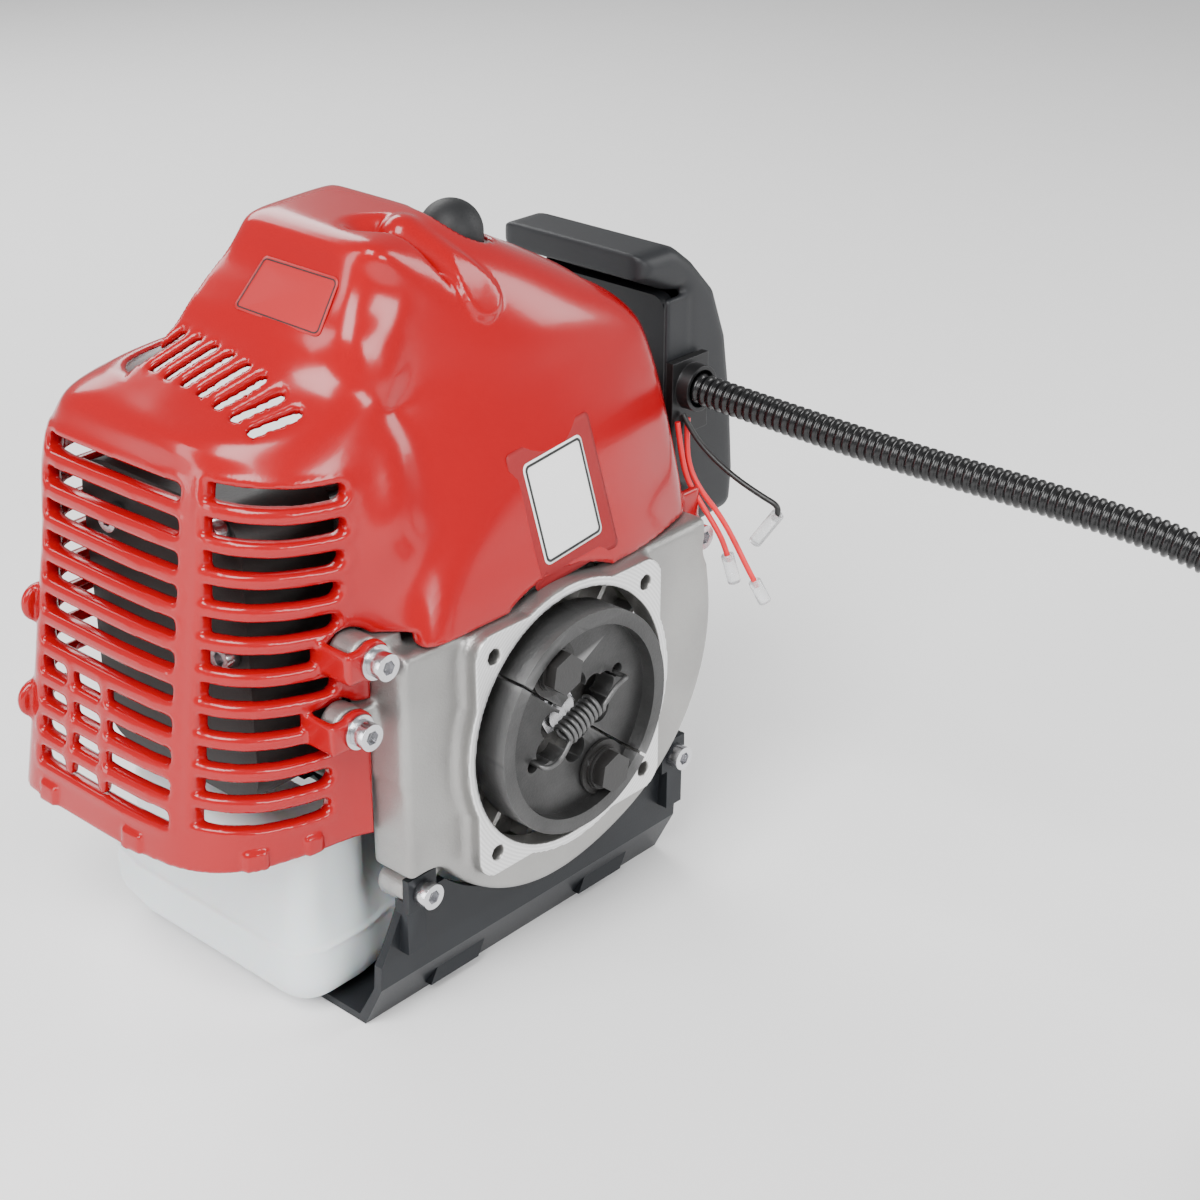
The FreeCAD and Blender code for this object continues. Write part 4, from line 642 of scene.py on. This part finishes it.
# ---------------------------------------------------------------- CAD nodes that stay
def dress_frame():
    """Better materials and softened edges on the CAD nodes that stay."""
    slot_of = {entry["node"]: entry["material_slot"] for entry in frame["record"]["subparts"]}
    repaint = {"stand": "stand_paint", "cable_bracket": "dark_zinc"}
    soften = {"stand": 1.0, "muffler": 1.2}
    for name, node in NODES.items():
        slot = slot_of.get(name)
        if slot not in FINISH:
            continue
        node.data.materials.clear()
        node.data.materials.append(FINISH[repaint.get(name, slot)])
        weld = node.modifiers.new("weld", "WELD")
        weld.merge_threshold = 2e-6
        flat = node.modifiers.new("flat", "DECIMATE")
        flat.decimate_type = "DISSOLVE"
        flat.angle_limit = math.radians(0.5)
        bevel = node.modifiers.new("bevel", "BEVEL")
        bevel.width = soften.get(name, 0.35) * MM
        bevel.segments = 2
        bevel.limit_method = "ANGLE"
        bevel.angle_limit = math.radians(38)
        bevel.harden_normals = False


# ---------------------------------------------------------------- cords
CONDUIT_R, CONDUIT_VALLEY_R, RIB_PITCH = 5.5, 4.4, 2.9
WIRE_R, TIE_R = 1.0, 1.0
CONDUIT_ROUTE = [(89, 26.2, 81), (94, -12, 77.2), (99.5, -58, 74), (105, -105, 72.6),
                 (109.5, -146, 70), (113, -177, 61), (115.5, -200, 42), (117, -216, 14),
                 (117.8, -230, -16), (118, -250, -44), (118, -276, -62), (118.4, -300, -66.4)]
CONDUIT_END = [(118.4, -322, -88.4), (118, -342, -88.3), (118, -357, -88.3)]
COIL_CENTRE, COIL_R, COIL_START_Z, COIL_TURNS, COIL_STEPS = (60.0, -308.0), 58.6, -66.4, 2, 16
RED_ROUTE = [(86, 26, 70.5), (85, 25.5, 61), (85.3, 24, 52.5), (86.5, 19.8, 45), (88, 13.2, 38.5),
             (89, 7.6, 31), (90.5, 1.8, 20.5), (92.3, -1.6, 13.5)]
RED_SHORT_ROUTE = [(80.6, 26, 70.5), (80.9, 24.5, 60), (82, 22.5, 50), (84, 17.8, 42),
                   (86.3, 13.5, 34.5), (88.3, 10.3, 27.5), (89.5, 9.0, 21)]
BLACK_ROUTE = [(83.5, 26, 72.5), (84, 22.5, 67), (85.2, 16, 60.5), (87.3, 6.5, 54),
               (89.2, -4, 49.5), (91, -12, 46.5), (90.5, -9, 42)]


def add_spline(name, route):
    """NURBS curve object with the route as its control points."""
    curve = bpy.data.curves.new(name, "CURVE")
    curve.dimensions = "3D"
    curve.resolution_u = 12
    spline = curve.splines.new("NURBS")
    spline.points.add(len(route) - 1)
    for point, place in zip(spline.points, route):
        point.co = (*[c * MM for c in place], 1.0)
    spline.order_u = 3
    spline.use_endpoint_u = True
    obj = bpy.data.objects.new(name, curve)
    bpy.context.scene.collection.objects.link(obj)
    return obj


def read_spline(route):
    """Points along a route's NURBS spline, in millimetres."""
    guide = add_spline("guide", route)
    bpy.context.view_layer.update()
    mesh = bpy.data.meshes.new_from_object(guide)
    points = np.array([v.co for v in mesh.vertices]) / MM
    bpy.data.objects.remove(guide)
    return points


def even(points, step):
    """The same line with points a step apart."""
    run = np.concatenate([[0], np.cumsum(np.linalg.norm(np.diff(points, axis=0), axis=1))])
    at = np.linspace(0, run[-1], int(round(run[-1] / step)) + 1)
    return np.stack([np.interp(at, run, points[:, k]) for k in range(3)], 1), at


def sweep(name, line, radii, material, body, sides=20):
    """Round tube along a line with a radius at each point, closed at both ends."""
    tangents = np.gradient(line, axis=0)
    tangents /= np.linalg.norm(tangents, axis=1, keepdims=True)
    across = np.cross(tangents[0], (0.0, 0.0, 1.0))
    if np.linalg.norm(across) < 0.1:
        across = np.cross(tangents[0], (0.0, 1.0, 0.0))
    angles = np.linspace(0, 2 * math.pi, sides, endpoint=False)
    points = []
    for place, tangent, radius in zip(line, tangents, radii):
        across = across - tangent * (across @ tangent)
        across /= np.linalg.norm(across)
        other = np.cross(tangent, across)
        points.append(place + radius * (np.cos(angles)[:, None] * across
                                        + np.sin(angles)[:, None] * other))
    points = np.concatenate(points)
    faces = []
    for k in range(len(line) - 1):
        for j in range(sides):
            nxt = (j + 1) % sides
            faces.append((k * sides + j, k * sides + nxt, (k + 1) * sides + nxt,
                          (k + 1) * sides + j))
    faces.append(tuple(range(sides))[::-1])
    faces.append(tuple((len(line) - 1) * sides + j for j in range(sides)))
    return add_mesh(name, points, faces, FINISH[material], body)


def conduit():
    """Corrugated conduit: out of the air cleaner, down, two turns and into the grip."""
    route = list(CONDUIT_ROUTE)
    for k in range(1, COIL_TURNS * COIL_STEPS):
        turned = -2 * math.pi * k / COIL_STEPS
        route.append((COIL_CENTRE[0] + COIL_R * math.cos(turned),
                      COIL_CENTRE[1] + COIL_R * math.sin(turned),
                      COIL_START_Z - 2 * CONDUIT_R * k / COIL_STEPS))
    route += CONDUIT_END
    line, run = even(read_spline(route), RIB_PITCH / 6)
    wave = 0.5 + 0.5 * np.cos(2 * math.pi * run / RIB_PITCH)
    radii = CONDUIT_VALLEY_R + (CONDUIT_R - CONDUIT_VALLEY_R) * np.minimum(1.25 * wave, 1.0)
    tube = sweep("conduit_ribbed", line, radii, "conduit_plastic", "engine", 18)
    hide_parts("conduit", "conduit_coil")


def coil_tie():
    """Tie round the two layers on the far side of the coil."""
    loop = rounded_loop(13.8, 24.8, 5.5)
    loop = np.concatenate([loop, loop[:1]])
    middle = np.array((COIL_CENTRE[0] - COIL_R, COIL_CENTRE[1], COIL_START_Z - 2 * CONDUIT_R))
    line = middle + np.stack([loop[:, 0], 0 * loop[:, 0], loop[:, 1]], 1)
    line = even(line, 0.8)[0]
    made = sweep("coil_tie", line, np.full(len(line), TIE_R), "rubber", "engine", 8)


def wire(name, route, material, node):
    """One loose wire."""
    made = add_spline(name, route)
    made.data.bevel_depth = WIRE_R * MM
    made.data.bevel_resolution = 4
    made.data.use_fill_caps = True
    made.data.materials.append(FINISH[material])
    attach(made, "engine")
    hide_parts(node)


# ---------------------------------------------------------------- clutch spring
def clutch_spring():
    """Extension spring across the clutch: close coils on a slanting axis, a hook at each end."""
    lean = math.atan2(8.8, 21.6)
    along = np.array((math.cos(lean), 0.0, math.sin(lean)))
    side = np.array((-math.sin(lean), 0.0, math.cos(lean)))
    depth = np.array((0.0, 1.0, 0.0))
    middle, coil_r, wire_r, turns, half = np.array((0.0, -2.6, 0.0)), 3.6, 0.85, 8, 8.2
    steps = turns * 24
    angles = -math.pi / 2 + 2 * math.pi * np.arange(steps + 1) / 24
    line = (middle + along * (half * (2 * np.arange(steps + 1) / steps - 1))[:, None]
            + coil_r * (np.cos(angles)[:, None] * side + np.sin(angles)[:, None] * depth))
    hook = [(10.5, 0.8, -3.7), (13, 1.8, -3.9), (16, 2.3, -3.9), (19, 1.8, -3.7), (21, 0.7, -3.1),
            (21.6, 0.1, -1.7), (21.5, 0, 0.5), (21.5, 0, 4.0)]
    tail = [middle + along * a + side * b + depth * c for a, b, c in hook]
    head = [middle - along * a - side * b + depth * c for a, b, c in hook[::-1]]
    line = np.concatenate([head, line, tail])
    smooth = even(line, 0.5)[0]
    for _ in range(3):
        smooth[1:-1] = (smooth[:-2] + 2 * smooth[1:-1] + smooth[2:]) / 4
    made = sweep("spring_wound", smooth, np.full(len(smooth), wire_r), "clutch_steel", "rotor", 12)
    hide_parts("clutch_spring")


# ---------------------------------------------------------------- air cleaner, housing, tank
# Outlines of the air cleaner cover as (x, z), outside and inside.
CLEANER_OUT = [(88.3, 25.5), (99, 23.5), (117, 25), (120, 28), (121, 40), (118.5, 68), (114.5, 92),
               (107.5, 110), (96, 122), (88, 128), (84, 129.5), (68, 129.5), (68, 121), (84, 114),
               (88.3, 113)]
CLEANER_IN = [(80, 31), (99, 29), (114.5, 31), (116.3, 41), (113.8, 67), (110, 89), (103.5, 105),
              (93, 114.5), (80, 111)]


def cleaner_cover():
    """Air cleaner cover: soft moulded shell, open towards its base plate."""
    p = grid((64, 27, 20), (125, 101, 133), 1.1)
    shell = column(p, Y, CLEANER_OUT, 31, 97, 7.0)
    shell = join(shell, block(p, (80.5, 31, 44), (92, 33.6, 112), 1.0), 2.0)
    shell = both(shell, 31 - p[Y], 1.0)
    shell = carve(shell, column(p, Y, CLEANER_IN, 33.6, 94.4, 4.0), 0.8)
    shell = carve(shell, block(p, (60, 33.6, 40), (88.2, 94.4, 111), 0.5), 0.8)
    shell = carve(shell, rod(p, X, (68, 100), 3.5, 80, 130), 0.5)
    add_shape("cleaner_shell", p, shell, "black_plastic", "engine", "cleaner_cover")


HOUSING_Y0, HOUSING_Y1, HOUSING_TOP, HOUSING_WALL = 6.0, 25.7, 43.4, 3.0
STAND_SCREWS = [(-58.0, -43.0), (64.0, -46.0)]
CASE_SCREWS = [(-44.0, 34.0), (44.0, 34.0), (-44.0, -34.0), (44.0, -34.0)]
BORE_R, FLANGE_R, LUG_R, HOLE_AT, TAP_R, FLYWHEEL_CLEAR_R = 43.6, 47.0, 8.0, 35.0, 2.55, 48.5
POCKET_R = 7.4               # pocket for a cover screw's washer
BOSS_BACK = LUG_Y + 3.1      # from a cover screw's head to its boss in the housing


def fan_housing():
    """Cast fan housing: filleted volute, milled flange, bosses and screw pockets."""
    p = grid((-86, -1.5, -62), (80, 28, 52), 0.85)
    x, y, z = p
    corners = [(sx, sz) for sx in (-HOLE_AT, HOLE_AT) for sz in (-HOLE_AT, HOLE_AT)]
    flat = (x, 0 * y, z)
    outline = join(np.hypot(x, z) - 62.4, np.hypot(x - 10, z - 8) - 67.5, 3.0) + 0 * y
    outline = join(outline, block(flat, (-66, -1, -34), (-20, 1, HOUSING_TOP), 1.0), 6.0)
    outline = join(outline, block(flat, (-66, -1, 0), (74, 1, HOUSING_TOP), 1.0), 4.0)
    outline = both(outline, z - HOUSING_TOP, 2.0)
    deep = np.abs(y - (HOUSING_Y0 + HOUSING_Y1) / 2) - (HOUSING_Y1 - HOUSING_Y0) / 2
    body = both(outline, deep, 4.0)
    plate = rod(p, Y, (0, 0), FLANGE_R, 0, 8, 0.4)
    for w, h in ((HOLE_AT + LUG_R, HOLE_AT), (HOLE_AT, HOLE_AT + LUG_R)):
        plate = np.minimum(plate, block(p, (-w, 0, -h), (w, 8, h), 0.4))
    for at in corners:
        plate = np.minimum(plate, rod(p, Y, at, LUG_R, 0, 14, 0.4))
    body = join(body, plate, 3.5)
    for sx, sz, head in COVER_SCREWS:
        back, inner = head + BOSS_BACK, sx - math.copysign(14, sx)
        arm = block(p, (min(sx, inner), back, sz - 4), (max(sx, inner), HOUSING_Y1, sz + 4), 1.0)
        body = join(body, np.minimum(arm, rod(p, Y, (sx, sz), 6.5, back, HOUSING_Y1, 0.6)), 3.0)
    for sx, sz in STAND_SCREWS:
        inner = 0.8 * sx
        arm = block(p, (min(inner, sx), 16, sz - 3), (max(inner, sx), HOUSING_Y1, sz + 12), 1.0)
        body = join(body, np.minimum(arm, rod(p, Y, (sx, sz), 6.0, 14, HOUSING_Y1, 0.6)), 3.0)
    body = carve(body, np.maximum(outline + HOUSING_WALL, HOUSING_Y0 + HOUSING_WALL - y), 1.0)
    for sx, sz in CASE_SCREWS:
        body = join(body, rod(p, Y, (sx, sz), 5.5, HOUSING_Y0 + 1, HOUSING_Y1, 0.4), 1.0)
        body = carve(body, rod(p, Y, (sx, sz), TAP_R, 10, 30), 0.3)
    body = carve(body, rod(p, Y, (0, 0), BORE_R, -5, 12), 0.8)
    body = carve(body, rod(p, Y, (0, 0), FLYWHEEL_CLEAR_R, HOUSING_Y0 + HOUSING_WALL, 40), 0.8)
    for at in corners:
        body = carve(body, rod(p, Y, at, TAP_R, -5, 13), 0.5)
    for sx, sz, head in COVER_SCREWS:
        body = carve(body, rod(p, Y, (sx, sz), POCKET_R, -5, head + BOSS_BACK), 1.2)
        body = carve(body, rod(p, Y, (sx, sz), TAP_R, -5, HOUSING_Y1 - 1), 0.3)
    for sx, sz in STAND_SCREWS:
        body = carve(body, rod(p, Y, (sx, sz), TAP_R, -5, HOUSING_Y1 - 1), 0.3)
    add_shape("housing_cast", p, body, "cast_aluminium", "engine", "fan_housing")


TANK_WALL, SEAM_Z = 2.6, -66.5
FILLER_AT, FILLER_BORE_R = (112, -73.5), 9.6     # y, z of the filler neck
FUEL_AT, GROMMET_BORE_R = (53.0, 56.0), 3.3      # x, y of the fuel line's grommet


def fuel_tank():
    """Blow-moulded tank: soft box with a hump on the exhaust side and a pinched seam."""
    p = grid((-90, 34, -95), (78, 148, -22), 1.2)
    body = block(p, (-86, 38, -90.8), (66, 143.5, -57.5), 13.0)
    body = join(body, block(p, (-86, 38, -86), (-54, 126, -26), 9.0), 10.0)
    body = join(body, rod(p, X, FILLER_AT, 12.0, 58, 74, 0.8), 3.0)
    inside = body + TANK_WALL
    body = join(body, np.maximum(body - 0.9, np.abs(p[Z] - SEAM_Z) - 0.7), 0.8)
    body = np.maximum(body, -inside)
    body = carve(body, rod(p, X, FILLER_AT, FILLER_BORE_R, 50, 80), 0.5)
    body = carve(body, rod(p, Z, FUEL_AT, GROMMET_BORE_R, -66, -50), 0.5)
    add_shape("tank_moulded", p, body, "tank_plastic", "engine", "fuel_tank")


# ---------------------------------------------------------------- build everything
FINISH = make_finishes()
add_camera()
add_studio()
dress_frame()
conduit()
coil_tie()
wire("wire_long", RED_ROUTE, "red_insulation", "wire_red_long")
wire("wire_short", RED_SHORT_ROUTE, "red_insulation", "wire_red_short")
wire("wire_dark", BLACK_ROUTE, "black_insulation", "wire_black")
labels(engine_cover())
clutch_spring()
fuel_tank()
fan_housing()
cleaner_cover()
